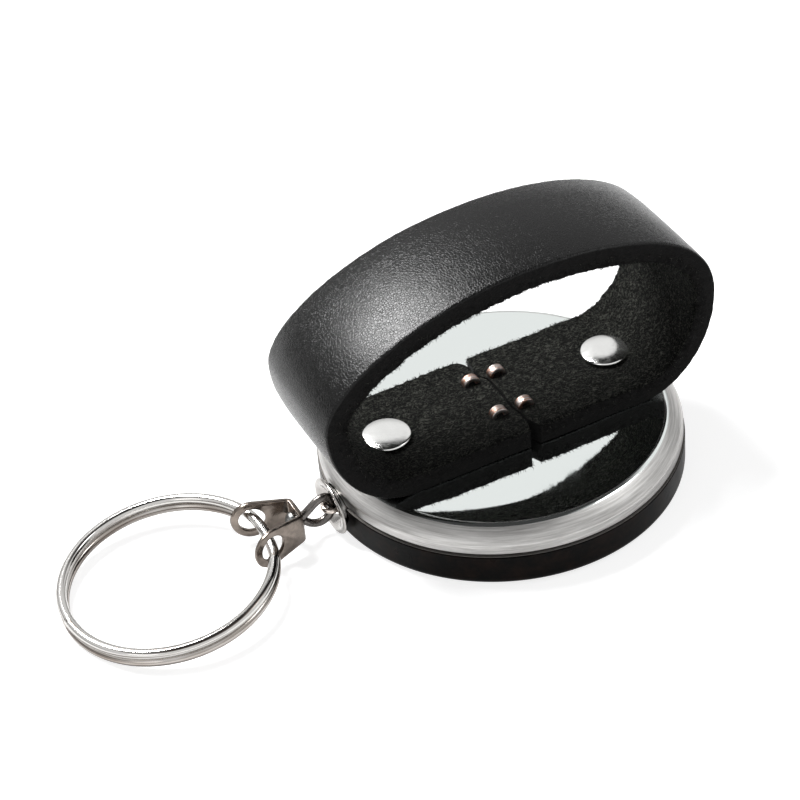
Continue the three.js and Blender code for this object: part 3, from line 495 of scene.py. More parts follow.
def drawn_stainless():
    """Drawn stainless steel: a buffed mirror face, and a side turned with fine grit to a satin band."""
    material, tree = new_material("drawn stainless steel")
    where = millimetres(tree)
    face_radius = (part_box("back_shell")[1].y - sizes().shoulder_width) / MM
    turn = math.sin(sizes().face_turn) - math.sin(sizes().face_fall)
    satin_from = face_radius + sizes().face_roll / MM * turn
    # The grit's marks, in millimetres; real ones are finer than the render can show
    grit_length, grit_width, cloud_width = 7.14, 0.357, 5.6
    along, across, up = node(tree, "SeparateXYZ", {0: where}).node.outputs
    flat = node(tree, "CombineXYZ", {0: along, 1: across})
    radius = node(tree, "VectorMath", {0: flat}, "Value", operation="LENGTH")
    edge = {"Value": radius, 1: satin_from - 0.05, 2: satin_from + 0.1, 3: 0, 4: 1}
    satin = node(tree, "MapRange", edge, interpolation_type="SMOOTHSTEP")
    # The buffing wheel leaves a thin dull line where the face ends
    line = node(tree, "Math", {0: radius, 1: face_radius + 0.02}, operation="SUBTRACT")
    line = node(tree, "Math", {0: line}, operation="ABSOLUTE")
    line = node(tree, "MapRange", {"Value": line, 1: 0.08, 2: 0.16, 3: 0.75, 4: 0})
    satin = node(tree, "Math", {0: satin, 1: line}, operation="MAXIMUM")
    # Grit lines run round the case: they change fast down the shoulder and side, and slowly round it
    level = node(tree, "Math", {0: radius, 1: up}, operation="SUBTRACT")
    lines_at = node(tree, "CombineXYZ", {0: along, 1: across, 2: level})
    per_mark = (1 / grit_length, 1 / grit_length, 1 / grit_width)
    lines_at = node(tree, "VectorMath", {0: lines_at, 1: per_mark}, operation="MULTIPLY")
    lines = node(tree, "TexNoise", {"Vector": lines_at, "Scale": 1, "Detail": 5, "Roughness": 0.7})
    cloud = node(tree, "TexNoise", {"Vector": where, "Scale": 1 / cloud_width, "Detail": 2})
    rough_satin = node(tree, "MapRange", {"Value": lines, 1: 0.3, 2: 0.7, 3: 0.3, 4: 0.4})
    rough_mirror = node(tree, "MapRange", {"Value": cloud, 1: 0.35, 2: 0.7, 3: 0.02, 4: 0.055})
    rough = node(tree, "Mix", {0: satin, 2: rough_mirror, 3: rough_satin}, data_type="FLOAT")
    shade = node(tree, "MapRange", {"Value": lines, 1: 0.3, 2: 0.7, 3: 0, 4: 1})
    tones = {0: shade, 6: list(finishes().satin_low), 7: list(finishes().satin_high)}
    brushed = node(tree, "Mix", tones, 2, data_type="RGBA")
    tones = {0: satin, 6: list(finishes().shell_steel), 7: brushed}
    colour = node(tree, "Mix", tones, 2, data_type="RGBA")
    height = node(tree, "Math", {0: lines, 1: satin}, operation="MULTIPLY")
    normal = node(tree, "Bump", {"Height": height, "Distance": 0.02 * MM, "Strength": 0.6})
    inputs = {"Base Color": colour, "Metallic": 1.0, "Roughness": rough, "Normal": normal}
    shader = node(tree, "BsdfPrincipled", inputs)
    node(tree, "OutputMaterial", {"Surface": shader})
    return material


def plated(name, colour, rough, grain=0.03, mottle=0.92, wave=0.02):
    """Nickel plate over drawn or pressed metal: bright, clouded, a little wavy, with a fine grain.

    grain and wave are the heights of its bumps, in millimetres, and mottle the shade of its darker clouds.
    """
    material, tree = new_material(name)
    where = millimetres(tree)
    # Widths, in millimetres
    wave_width, cloud_width, haze_width, grain_width = 3.3, 2, 0.67, 0.33
    haze = node(tree, "TexNoise", {"Vector": where, "Scale": 1 / haze_width, "Detail": 3})
    pits = node(tree, "TexNoise", {"Vector": where, "Scale": 1 / grain_width, "Detail": 4, "Roughness": 0.6})
    dulled = {"Value": haze, 1: 0.3, 2: 0.7, 3: rough * 0.7, 4: rough * 1.35}
    dulled = node(tree, "MapRange", dulled)
    tint = [channel * mottle for channel in colour[:3]] + [1.0]
    cloud = node(tree, "TexNoise", {"Vector": where, "Scale": 1 / cloud_width, "Detail": 6, "Roughness": 0.6})
    share = node(tree, "MapRange", {"Value": cloud, 1: 0.38, 2: 0.62, 3: 0, 4: 1})
    shade = node(tree, "Mix", {0: share, 6: tint, 7: list(colour)}, 2, data_type="RGBA")
    waves = node(tree, "TexNoise", {"Vector": where, "Scale": 1 / wave_width, "Detail": 1})
    normal = node(tree, "Bump", {"Height": waves, "Distance": wave * MM, "Strength": 1.0})
    inputs = {"Height": pits, "Distance": grain * MM, "Strength": 0.5, "Normal": normal}
    normal = node(tree, "Bump", inputs)
    inputs = {"Base Color": shade, "Metallic": 1.0, "Roughness": dulled, "Normal": normal}
    shader = node(tree, "BsdfPrincipled", inputs)
    node(tree, "OutputMaterial", {"Surface": shader})
    return material


def drawn_wire():
    """Bright nickel over drawn spring wire: mirror bright, with die lines painted dark as reflections, and
    painted brown shade below.
    """
    material, tree = new_material("bright nickel plated wire")
    where = millimetres(tree, "wire")
    # Die lines and clouds run with the wire, in millimetres; the lines are drawn coarser, so that they show
    line_length, line_width, cloud_length, cloud_width = 33.3, 0.3125, 8.33, 1.67
    per_line = (1 / line_length, 1 / line_width, 1 / line_width)
    per_cloud = (1 / cloud_length, 1 / cloud_width, 1 / cloud_width)
    lines_at = node(tree, "VectorMath", {0: where, 1: per_line}, operation="MULTIPLY")
    lines = node(tree, "TexNoise", {"Vector": lines_at, "Scale": 1, "Detail": 3, "Roughness": 0.6})
    cloud_at = node(tree, "VectorMath", {0: where, 1: per_cloud}, operation="MULTIPLY")
    cloud = node(tree, "TexNoise", {"Vector": cloud_at, "Scale": 1, "Detail": 2})
    # Painted shade: the lower turn is darkened to a brownish grey in clouds, for the darker things it
    # reflects
    height = node(tree, "SeparateXYZ", {0: where}, "Z")
    lower = node(tree, "MapRange", {"Value": height, 1: 0.35, 2: -0.4, 3: 0, 4: 1})
    cloud = node(tree, "MapRange", {"Value": cloud, 1: 0.35, 2: 0.65, 3: 0.3, 4: 1})
    painted_shade_share = node(tree, "Math", {0: lower, 1: cloud}, operation="MULTIPLY")
    tones = {0: painted_shade_share, 6: list(finishes().ring_nickel), 7: list(finishes().ring_painted_shade)}
    colour = node(tree, "Mix", tones, 2, data_type="RGBA")
    # The die lines are painted dark: painted reflection, standing in for the dark stripes that the wire
    # reflects
    line = node(tree, "MapRange", {"Value": lines, 1: 0.5, 2: 0.62, 3: 0, 4: 1})
    tones = {0: line, 6: colour, 7: list(finishes().ring_die_lines_and_reflections)}
    colour = node(tree, "Mix", tones, 2, data_type="RGBA")
    rough = node(tree, "MapRange", {"Value": cloud, 1: 0.3, 2: 1, 3: 0.11, 4: 0.17})
    normal = node(tree, "Bump", {"Height": lines, "Distance": 0.015 * MM, "Strength": 0.5})
    inputs = {"Base Color": colour, "Metallic": 1.0, "Roughness": rough, "Normal": normal}
    shader = node(tree, "BsdfPrincipled", inputs)
    node(tree, "OutputMaterial", {"Surface": shader})
    return material


def coppered_wire():
    """Copper-washed steel staple wire: the clinching tool has rubbed the wash to bare steel in streaks."""
    material, tree = new_material("copper washed wire")
    where = millimetres(tree)
    # Rubbed streaks run with the wire: their sizes along X, Y and Z, in millimetres
    streak_size, dull_width = (2.6, 0.267, 1.515), 0.25
    per_streak = [1 / size for size in streak_size]
    streak = node(tree, "VectorMath", {0: where, 1: per_streak}, operation="MULTIPLY")
    worn = node(tree, "TexNoise", {"Vector": streak, "Scale": 1, "Detail": 4, "Roughness": 0.6})
    edge = {"Value": worn, 1: 0.44, 2: 0.58, 3: 0, 4: 1}
    share = node(tree, "MapRange", edge, interpolation_type="SMOOTHSTEP")
    tones = {0: share, 6: list(finishes().staple_steel), 7: list(finishes().staple_copper)}
    colour = node(tree, "Mix", tones, 2, data_type="RGBA")
    dull = node(tree, "TexNoise", {"Vector": where, "Scale": 1 / dull_width, "Detail": 3})
    rough = node(tree, "MapRange", {"Value": dull, 1: 0.3, 2: 0.7, 3: 0.3, 4: 0.45})
    normal = node(tree, "Bump", {"Height": worn, "Distance": 0.14 * MM, "Strength": 0.8})
    inputs = {"Base Color": colour, "Metallic": 1.0, "Roughness": rough, "Normal": normal}
    shader = node(tree, "BsdfPrincipled", inputs)
    node(tree, "OutputMaterial", {"Surface": shader})
    return material


def leather_grain():
    """Pigmented full-grain cowhide: pebbles under half a millimetre across, and a thin, even sheen."""
    material, tree = new_material("full grain leather")
    where = millimetres(tree, "blank")
    # Widths in millimetres. The pores are finer than the render can show, so they are drawn coarser
    pebble_width, drift_width, pore_width, tight_width = 0.4, 0.91, 0.222, 8.33
    pebble_nudge, pebble_rise, crown_fall = 0.5, 0.019, 0.0075
    drift = node(tree, "TexNoise", {"Vector": where, "Scale": 1 / drift_width, "Detail": 2}, "Color")
    drift = node(tree, "VectorMath", {"Vector": drift, "Scale": pebble_nudge}, operation="SCALE")
    nudged = node(tree, "VectorMath", {0: where, 1: drift}, operation="ADD")
    inputs = {"Vector": nudged, "Scale": 1 / pebble_width, "Randomness": 0.95}
    crease = node(tree, "TexVoronoi", inputs, "Distance", feature="DISTANCE_TO_EDGE")
    dome = {"Value": crease, 1: 0, 2: 0.22, 3: 0, 4: 1}
    pebble = node(tree, "MapRange", dome, interpolation_type="SMOOTHSTEP")
    pores = {"Vector": where, "Scale": 1 / pore_width, "Detail": 3, "Roughness": 0.6}
    pores = node(tree, "TexNoise", pores)
    pores = node(tree, "Math", {0: pores, 1: 0.35}, operation="MULTIPLY")
    # Where the hide is tight the pebbles fade
    tight = node(tree, "TexNoise", {"Vector": where, "Scale": 1 / tight_width, "Detail": 1})
    tight = node(tree, "MapRange", {"Value": tight, 1: 0.35, 2: 0.65, 3: 0.85, 4: 1.0})
    height = node(tree, "Math", {0: pebble, 1: pores}, operation="ADD")
    height = node(tree, "Math", {0: height, 1: tight}, operation="MULTIPLY")
    rough = node(tree, "MapRange", {"Value": pebble, 1: 0, 2: 1, 3: 0.29, 4: 0.24})
    # Painted shade: the creases between the pebbles are coloured darker than the pebble tops
    tones = {0: pebble, 6: list(finishes().grain_crease_shade), 7: list(finishes().grain_high)}
    colour = node(tree, "Mix", tones, 2, data_type="RGBA")
    # The cut edges are drawn in, which crowns the grain side, and its sheen falls off across the strap
    across = node(tree, "SeparateXYZ", {0: where}, "Y")
    crown = node(tree, "Math", {0: across, 1: across}, operation="MULTIPLY")
    crown = node(tree, "Bump", {"Height": crown, "Distance": -crown_fall * MM, "Strength": 1.0})
    inputs = {"Height": height, "Distance": pebble_rise * MM, "Strength": 0.9, "Normal": crown}
    normal = node(tree, "Bump", inputs)
    inputs = {
        "Base Color": colour,
        "Roughness": rough,
        "IOR": 1.5,
        "Specular IOR Level": 0.22,
        "Normal": normal,
    }
    shader = node(tree, "BsdfPrincipled", inputs)
    node(tree, "OutputMaterial", {"Surface": shader})
    return material


def leather_flesh():
    """Flesh side of the hide, dyed black: a matt nap of tangled fibres, lighter at their tips."""
    material, tree = new_material("leather flesh side")
    where = millimetres(tree, "blank")
    # Tufts of nap lie mostly along the strap, and swirl; sizes along, across and through it, in millimetres
    tuft_size, swirl_width, swirl = (0.526, 0.31, 0.526), 2, 1.6
    turned_way = node(tree, "TexNoise", {"Vector": where, "Scale": 1 / swirl_width, "Detail": 2}, "Color")
    turned_way = node(tree, "VectorMath", {"Vector": turned_way, "Scale": swirl}, operation="SCALE")
    combed = node(tree, "VectorMath", {0: where, 1: turned_way}, operation="ADD")
    per_tuft = [1 / size for size in tuft_size]
    combed = node(tree, "VectorMath", {0: combed, 1: per_tuft}, operation="MULTIPLY")
    inputs = {"Vector": combed, "Scale": 1, "Detail": 5, "Roughness": 0.65, "Distortion": 1.2}
    strokes = node(tree, "TexNoise", inputs)
    fibre = node(tree, "MapRange", {"Value": strokes, 1: 0.48, 2: 0.63, 3: 0, 4: 1})
    tones = {0: fibre, 6: list(finishes().flesh_low), 7: list(finishes().flesh_high)}
    colour = node(tree, "Mix", tones, 2, data_type="RGBA")
    normal = node(tree, "Bump", {"Height": strokes, "Distance": 0.8 * MM, "Strength": 1.0})
    inputs = {
        "Base Color": colour,
        "Roughness": 0.9,
        "IOR": 1.4,
        "Specular IOR Level": 0.17,
        "Normal": normal,
    }
    shader = node(tree, "BsdfPrincipled", inputs)
    node(tree, "OutputMaterial", {"Surface": shader})
    return material


def leather_edge():
    """Knife-cut edge of the hide: matt, with crumbs of fibre in layers that run along the strap."""
    material, tree = new_material("leather cut edge")
    where = millimetres(tree, "blank")
    # Crumbs of fibre, along, across and through the strap, in millimetres
    crumb_size = (0.5, 0.3125, 0.3125)
    per_crumb = [1 / size for size in crumb_size]
    layered = node(tree, "VectorMath", {0: where, 1: per_crumb}, operation="MULTIPLY")
    inputs = {"Vector": layered, "Scale": 1, "Detail": 5, "Roughness": 0.7, "Distortion": 0.6}
    layers = node(tree, "TexNoise", inputs)
    fibre = node(tree, "MapRange", {"Value": layers, 1: 0.45, 2: 0.75, 3: 0, 4: 1})
    tones = {0: fibre, 6: list(finishes().edge_low), 7: list(finishes().edge_high)}
    colour = node(tree, "Mix", tones, 2, data_type="RGBA")
    normal = node(tree, "Bump", {"Height": layers, "Distance": 0.3 * MM, "Strength": 1.0})
    inputs = {
        "Base Color": colour,
        "Roughness": 0.9,
        "IOR": 1.4,
        "Specular IOR Level": 0.25,
        "Normal": normal,
    }
    shader = node(tree, "BsdfPrincipled", inputs)
    node(tree, "OutputMaterial", {"Surface": shader})
    return material


def moulded_acetal():
    """Acetal drum, injection moulded: off-white and waxy, with a dull sheen."""
    material, tree = new_material("moulded acetal")
    where = millimetres(tree)
    cloud_width, peel_width = 1.67, 0.5
    cloud = node(tree, "TexNoise", {"Vector": where, "Scale": 1 / cloud_width, "Detail": 3})
    rough = node(tree, "MapRange", {"Value": cloud, 1: 0.3, 2: 0.7, 3: 0.38, 4: 0.5})
    peel = node(tree, "TexNoise", {"Vector": where, "Scale": 1 / peel_width, "Detail": 3})
    normal = node(tree, "Bump", {"Height": peel, "Distance": 0.02 * MM, "Strength": 0.5})
    inputs = {
        "Base Color": list(finishes().acetal),
        "Roughness": rough,
        "IOR": 1.48,
        "Normal": normal,
    }
    shader = node(tree, "BsdfPrincipled", inputs)
    node(tree, "OutputMaterial", {"Surface": shader})
    return material


# Case


def nozzle_cutter():
    """Oval cutter for the opening through both walls."""
    low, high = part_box("exit_nozzle")
    stretch = high.y / (high.z - joint_place("eye_swing").z)
    height = joint_place("eye_swing").z
    radius, overrun = sizes().nozzle_neck + sizes().nozzle_fit, 0.5 * MM
    cutter = cylinder(radius, (low.x - overrun, 0, height), (high.x + overrun, 0, height), 64)
    places = vertex_array(cutter)
    places[:, 1] *= stretch
    set_vertices(cutter, places)
    return cutter


class KEYREEL_OT_cover(bpy.types.Operator):
    """Black front cover, on which the reel lies"""

    bl_idname = "key_reel.cover"
    bl_label = "Front cover"

    def execute(self, context):
        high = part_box("front_cover")[1]
        size = sizes()
        edge, lip, wall, depth = size.cover_edge, size.cover_lip, size.cover_wall, size.groove_depth
        groove = high.z - size.rim_groove
        # Above the groove the rim stands back by this much
        step = 0.03 * MM
        profile = [
            (0, 0),
            *arc(high.y - edge, edge, edge, edge, -90, 0, 10),
            (high.y, groove - depth),
            (high.y - depth, groove - depth / 4),
            (high.y - step, groove + 2 * step),
            *arc(high.y - lip - step, high.z - lip, lip, lip, 0, 90, 5),
            (high.y - wall, high.z),
            (high.y - wall, wall),
            (0, wall),
        ]
        cover = turned(profile, 192)
        cut(cover, nozzle_cutter())
        smooth(cover, 30)
        settle(cover, "front_cover_moulding", "case", [moulded_black()], ["front_cover"])
        return {"FINISHED"}


class KEYREEL_OT_shell(bpy.types.Operator):
    """Steel back shell with its mirror face and satin band"""

    bl_idname = "key_reel.shell"
    bl_label = "Back shell"

    def execute(self, context):
        low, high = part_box("back_shell")
        cover_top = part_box("front_cover")[1].z
        size = sizes()
        wall, width, drop, lap = size.shell_wall, size.shoulder_width, size.shoulder_drop, size.shell_lap
        radius, rim, edge = high.y, cover_top + size.parting_gap, size.shell_edge
        shoulder = high.z - drop
        skirt = radius - lap
        face, roll = radius - width, size.face_roll
        # The face is flat, rises a little, falls towards its edge, rolls down and swells over the shoulder
        ends = [share * face for share in (0.4, 0.82, 1)]
        reach = np.linspace(ends[0], face, 25)
        slopes = np.interp(reach, ends, [0, size.face_dish, -size.face_fall])
        rises = np.concatenate([[0], np.cumsum((slopes[1:] + slopes[:-1]) / 2 * np.diff(reach))])
        dished = [(float(r), high.z + float(z)) for r, z in zip(reach, rises)][-2::-1]
        crest = high.z + float(rises[-1])
        rolled = []
        for slope in np.linspace(size.face_turn, size.face_fall, 9):
            out = roll * (math.sin(slope) - math.sin(size.face_fall))
            down = roll * (math.cos(size.face_fall) - math.cos(slope))
            rolled.append((face + out, crest - down))
        start = rolled[0]
        corner = (radius, start[1] - (radius - start[0]) * math.tan(size.face_turn))
        swell = []
        for share in np.linspace(1, 0.05, 20):
            weights = ((1 - share) ** 2, 2 * share * (1 - share), share**2)
            controls = (start, corner, (radius, shoulder))
            swell.append([float(np.dot(weights, places)) for places in zip(*controls)])
        # Inside, the ceiling falls towards the shoulder by this much, as the face does
        fall = 0.3 * wall
        profile = [
            (0, high.z - wall),
            *arc(radius - width, shoulder, width - wall, drop - wall - fall, 90, 0, 10),
            (radius - wall, rim + wall),
            (skirt - wall, rim + wall),
            (skirt - wall, low.z),
            (skirt, low.z),
            (skirt, rim),
            *arc(radius - edge, rim + edge, edge, edge, -90, 0, 4),
            *swell,
            *rolled,
            *dished,
            (0, high.z),
        ]
        shell = turned(profile, 256)
        cut(shell, nozzle_cutter())
        smooth(shell)
        settle(shell, "back_shell_drawing", "case", [drawn_stainless()], ["back_shell"])
        return {"FINISHED"}


class KEYREEL_OT_nozzle(bpy.types.Operator):
    """Oval flared nozzle that the chain leaves through"""

    bl_idname = "key_reel.nozzle"
    bl_label = "Exit nozzle"

    def execute(self, context):
        low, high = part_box("exit_nozzle")
        height = joint_place("eye_swing").z
        flange = high.z - height
        size = sizes()
        mouth, throat, neck, depth = size.nozzle_mouth, size.nozzle_throat, size.nozzle_neck, size.mouth_depth
        rim = size.nozzle_lip / 2
        profile = []
        steps = 12
        for i in range(steps + 1):
            share = i / steps
            profile.append((low.x + depth * share, throat + (mouth - throat) * (1 - share) ** 2))
        curl, thickness = neck + size.nozzle_curl, size.nozzle_curl * 2 / 3
        profile += [
            (high.x, throat),
            (high.x, curl),
            (high.x - thickness, curl),
            (high.x - thickness, neck),
            (low.x + 3 * rim, neck),
            (low.x + 2 * rim, neck + thickness),
        ]
        for along, radius in arc(low.x + rim, flange - rim, rim, rim, 0, 180, 12):
            profile.append((along, radius))
        profile.append(profile[0])
        nozzle = turned_along_x(profile, 96, height)
        places = vertex_array(nozzle)
        places[:, 1] *= high.y / flange
        set_vertices(nozzle, places)
        smooth(nozzle, 40)
        material = plated("nickel plated eyelet", finishes().nozzle_nickel, 0.18, 0.03, 0.8, 0.05)
        settle(nozzle, "exit_nozzle_eyelet", "case", [material], ["exit_nozzle"])
        return {"FINISHED"}


# Chain


def make_link(centre_x, standing, major, minor):
    """Oval link: a wire ring pulled out along X, with so many faces round it and round its wire."""
    size = sizes()
    deselect()
    height = joint_place("eye_swing").z
    bow = (size.link_width - size.link_wire) / 2
    bpy.ops.mesh.primitive_torus_add(
        major_radius=bow,
        minor_radius=size.link_wire / 2,
        major_segments=major,
        minor_segments=minor,
        rotation=(math.pi / 2 if standing else 0, 0, 0),
    )
    link = bpy.context.object
    bpy.ops.object.transform_apply(location=True, rotation=True, scale=True)
    places = vertex_array(link)
    pull = (size.link_length - size.link_width) / 2
    places[:, 0] += np.clip(places[:, 0] / WELD, -1, 1) * pull + centre_x
    places[:, 2] += height
    set_vertices(link, places)
    return link


class KEYREEL_OT_chain(bpy.types.Operator):
    """The chain's last two links, and the run that is drawn out behind them"""

    bl_idname = "key_reel.chain"
    bl_label = "Chain"

    def execute(self, context):
        material = plated("nickel plated chain wire", finishes().chain_nickel, 0.16)
        for name, standing in (("chain_end_link", False), ("chain_link_inner", True)):
            low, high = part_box(name)
            link = make_link((low.x + high.x) / 2, standing, 40, 14)
            smooth(link, 60)
            settle(link, name + "_wire", "chain_end", [material], [name])
        self.drawn_run(material)
        return {"FINISHED"}

    def drawn_run(self, material):
        """Links of the run behind the end links: laid in line as the drawn-out chain, then moved to where
        they lie gathered at rest.
        """
        low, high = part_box("chain_link_inner")
        pitch, reach = sizes().link_pitch, joint_reach("chain_pull")
        spool_edge = -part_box("spool_drum")[1].y
        spare = 0.1 * MM
        start, end = spool_edge - 2 * spare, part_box("exit_nozzle")[1].x + spare
        first = (low.x + high.x) / 2 - reach + pitch
        count = int((spool_edge - first) / pitch) + 1
        flat, standing = make_link(0, False, 10, 4), make_link(0, True, 10, 4)
        shapes = [vertex_array(flat), vertex_array(standing)]
        faces = [list(face.vertices) for face in flat.data.polygons]
        bpy.data.objects.remove(standing)
        places = []
        all_faces = []
        for i in range(count):
            shape = shapes[i % 2].copy()
            shape[:, 0] += first + i * pitch
            all_faces += [[corner + i * len(shape) for corner in face] for face in faces]
            places.append(shape)
        places = np.vstack(places)
        places[:, 0] = gathered(places[:, 0], start, end, reach)
        run = flat
        run.data.clear_geometry()
        run.data.from_pydata(places.tolist(), [], all_faces)
        smooth(run, 60)
        settle(run, "chain_drawn_run", None, [material])
        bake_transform(run)


def gathered(drawn_x, start, end, reach):
    """Where each point of the drawn-out chain lies at rest, between start and end."""
    margin = reach + abs(end - start)
    # The middle stretch opens out to the chain's whole reach, so it is sampled finely
    coarse, fine = 50, 20001
    rest = [
        np.linspace(start + margin, start, coarse, endpoint=False),
        np.linspace(start, end, fine),
        np.linspace(end, end - margin, coarse)[1:],
    ]
    rest = np.concatenate(rest)
    share = ramp(rest, start, end)
    drawn = rest - reach * share * share * (3 - 2 * share)
    return np.interp(drawn_x, drawn[::-1], rest[::-1])


# Swivel and ring


def wire_curve(points, radius, resolution=6):
    """A round wire along a smooth curve through the points, made a mesh."""
    deselect()
    bpy.ops.curve.primitive_nurbs_path_add()
    wire = bpy.context.object
    spline = wire.data.splines[0]
    spline.points.add(len(points) - len(spline.points))
    for point, place in zip(spline.points, points):
        point.co = (*place, 1)
    spline.order_u = 4
    spline.use_endpoint_u = True
    spline.resolution_u = resolution
    wire.data.bevel_depth = radius
    wire.data.bevel_resolution = 5
    wire.data.use_fill_caps = True
    bpy.ops.object.convert(target="MESH")
    return bpy.context.object


def clevis_places():
    """Where the clevis's base is along X, and how far out its holes are."""
    base_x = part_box("swivel_clevis")[1].x - sizes().clevis_strip / 2
    reach = base_x - joint_place("ring_swing").x
    return base_x, sizes().clevis_half + reach * math.tan(sizes().clevis_spread)


class KEYREEL_OT_swivel(bpy.types.Operator):
    """Wire eye with its headed shank, and the clevis that turns on it"""

    bl_idname = "key_reel.swivel"
    bl_label = "Swivel"

    def execute(self, context):
        self.eye()
        self.clevis()
        return {"FINISHED"}

    def eye(self):
        low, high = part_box("swivel_eye")
        height = joint_place("clevis_spin").z
        wire = sizes().eye_wire / 2
        right = high.x - wire
        reach = high.z - height - wire
        centre = right - reach
        radius, rise = sizes().head_radius, sizes().head_height
        face = low.x + rise
        # Teardrop: the wire leaves the shank, rises straight, turns round the link and comes back under it.
        # Places along are in millimetres from the eye's middle, and heights are shares of its reach
        along = (-2.9, -2.3, -1.2, 0.2, 1.75, 2.15, 1.85, 0.6, -0.8, -1.9, -2.5)
        height_shares = (0, 0.1, 0.5, 1.02, 0.95, 0.2, -0.6, -1.03, -1, -0.62, -0.2)
        points = [(centre + x * MM, 0, height + share * reach) for x, share in zip(along, height_shares)]
        loop = wire_curve([(low.x + 0.6 * rise, 0, height), *points], wire)
        dome = [(x, r) for r, x in arc(0, face, radius, -rise, 90, 0, 10)]
        head = turned_along_x([*dome, (face, 0)], 32, height)
        eye = join([loop, head])
        smooth(eye, 60)
        material = plated("dark nickel plated wire", finishes().dark_nickel, 0.24, 0.05, 0.7)
        # Painted reflection: the head's lighter colour stands in for the bright room it reflects; only its
        # roughness is worn dullness
        upset = plated("upset shank head", finishes().shank_head_painted_light, 0.34, 0.08, 0.8)
        settle(eye, "swivel_eye_wire", "eye", [material, upset], ["swivel_eye"])
        for polygon in eye.data.polygons:
            polygon.material_index = int(polygon.center.x < face)

    def clevis(self):
        low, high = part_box("swivel_clevis")
        size = sizes()
        pivot = joint_place("ring_swing")
        strip, half_base = size.clevis_strip, size.clevis_half
        lean = math.tan(size.clevis_spread)
        base_x, hole_y = clevis_places()
        reach = base_x - low.x
        tip_y = half_base + reach * lean
        width = high.z - low.z
        corner = size.clevis_fold
        path = []
        for side in (1, -1):
            arm = (Vector((-reach, side * (tip_y - half_base), 0))).normalized()
            fold = Vector((base_x, side * half_base, pivot.z))
            tip = Vector((low.x, side * tip_y, pivot.z))
            along_base = Vector((0, -side, 0))
            turn = []
            for i in range(5):
                share = i / 4
                first = fold + arm * corner * (1 - share) ** 2
                turn.append(first + along_base * corner * share**2)
            path += [tip, *turn] if side == 1 else [*turn[::-1], tip]
        clevis = strip_along(path, (0, 0, width), strip)
        cut(clevis, self.side_view(pivot, width / 2, base_x, high.x + strip), "INTERSECT")
        for side in (1, -1):
            middle = Vector((pivot.x, side * hole_y, pivot.z))
            through = Vector((lean, side, 0)).normalized() * 3 * strip
            cut(clevis, cylinder(size.clevis_hole, middle - through, middle + through, 48))
        ends = [(base_x - strip, 0, pivot.z), (base_x + strip, 0, pivot.z)]
        cut(clevis, cylinder(size.clevis_bore, *ends, 32))
        soften(clevis, size.clevis_round)
        smooth(clevis, 40)
        material = plated("nickel plated strip", finishes().clevis_nickel, 0.2, 0.02, 0.62, 0.3)
        settle(clevis, "swivel_clevis_strip", "clevis", [material], ["swivel_clevis"])

    def side_view(self, pivot, radius, base_x, right):
        """What the clevis lies inside, seen from its side: a base that widens to round ends."""
        half = sizes().clevis_base / 2
        lean = math.cos(sizes().clevis_spread)
        reach = (base_x - pivot.x) / lean
        touch = math.atan2(reach, half) - math.acos(radius / math.hypot(reach, half))
        outline = [(right, half), (base_x, half)]
        for share in np.linspace(0, 1, 65):
            angle = math.pi / 2 - touch + share * (math.pi + 2 * touch)
            outline.append((pivot.x + radius * lean * math.cos(angle), radius * math.sin(angle)))
        outline += [(base_x, -half), (right, -half), (right, half)]
        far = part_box("swivel_clevis")[1].y + radius
        solid = draw_line([(x, -far, pivot.z + z) for x, z in outline])
        bpy.ops.mesh.select_all(action="SELECT")
        bpy.ops.mesh.remove_doubles(threshold=WELD)
        bpy.ops.mesh.edge_face_add()
        bpy.ops.mesh.extrude_region_move(TRANSFORM_OT_translate={"value": (0, 2 * far, 0)})
        weld()
        return solid


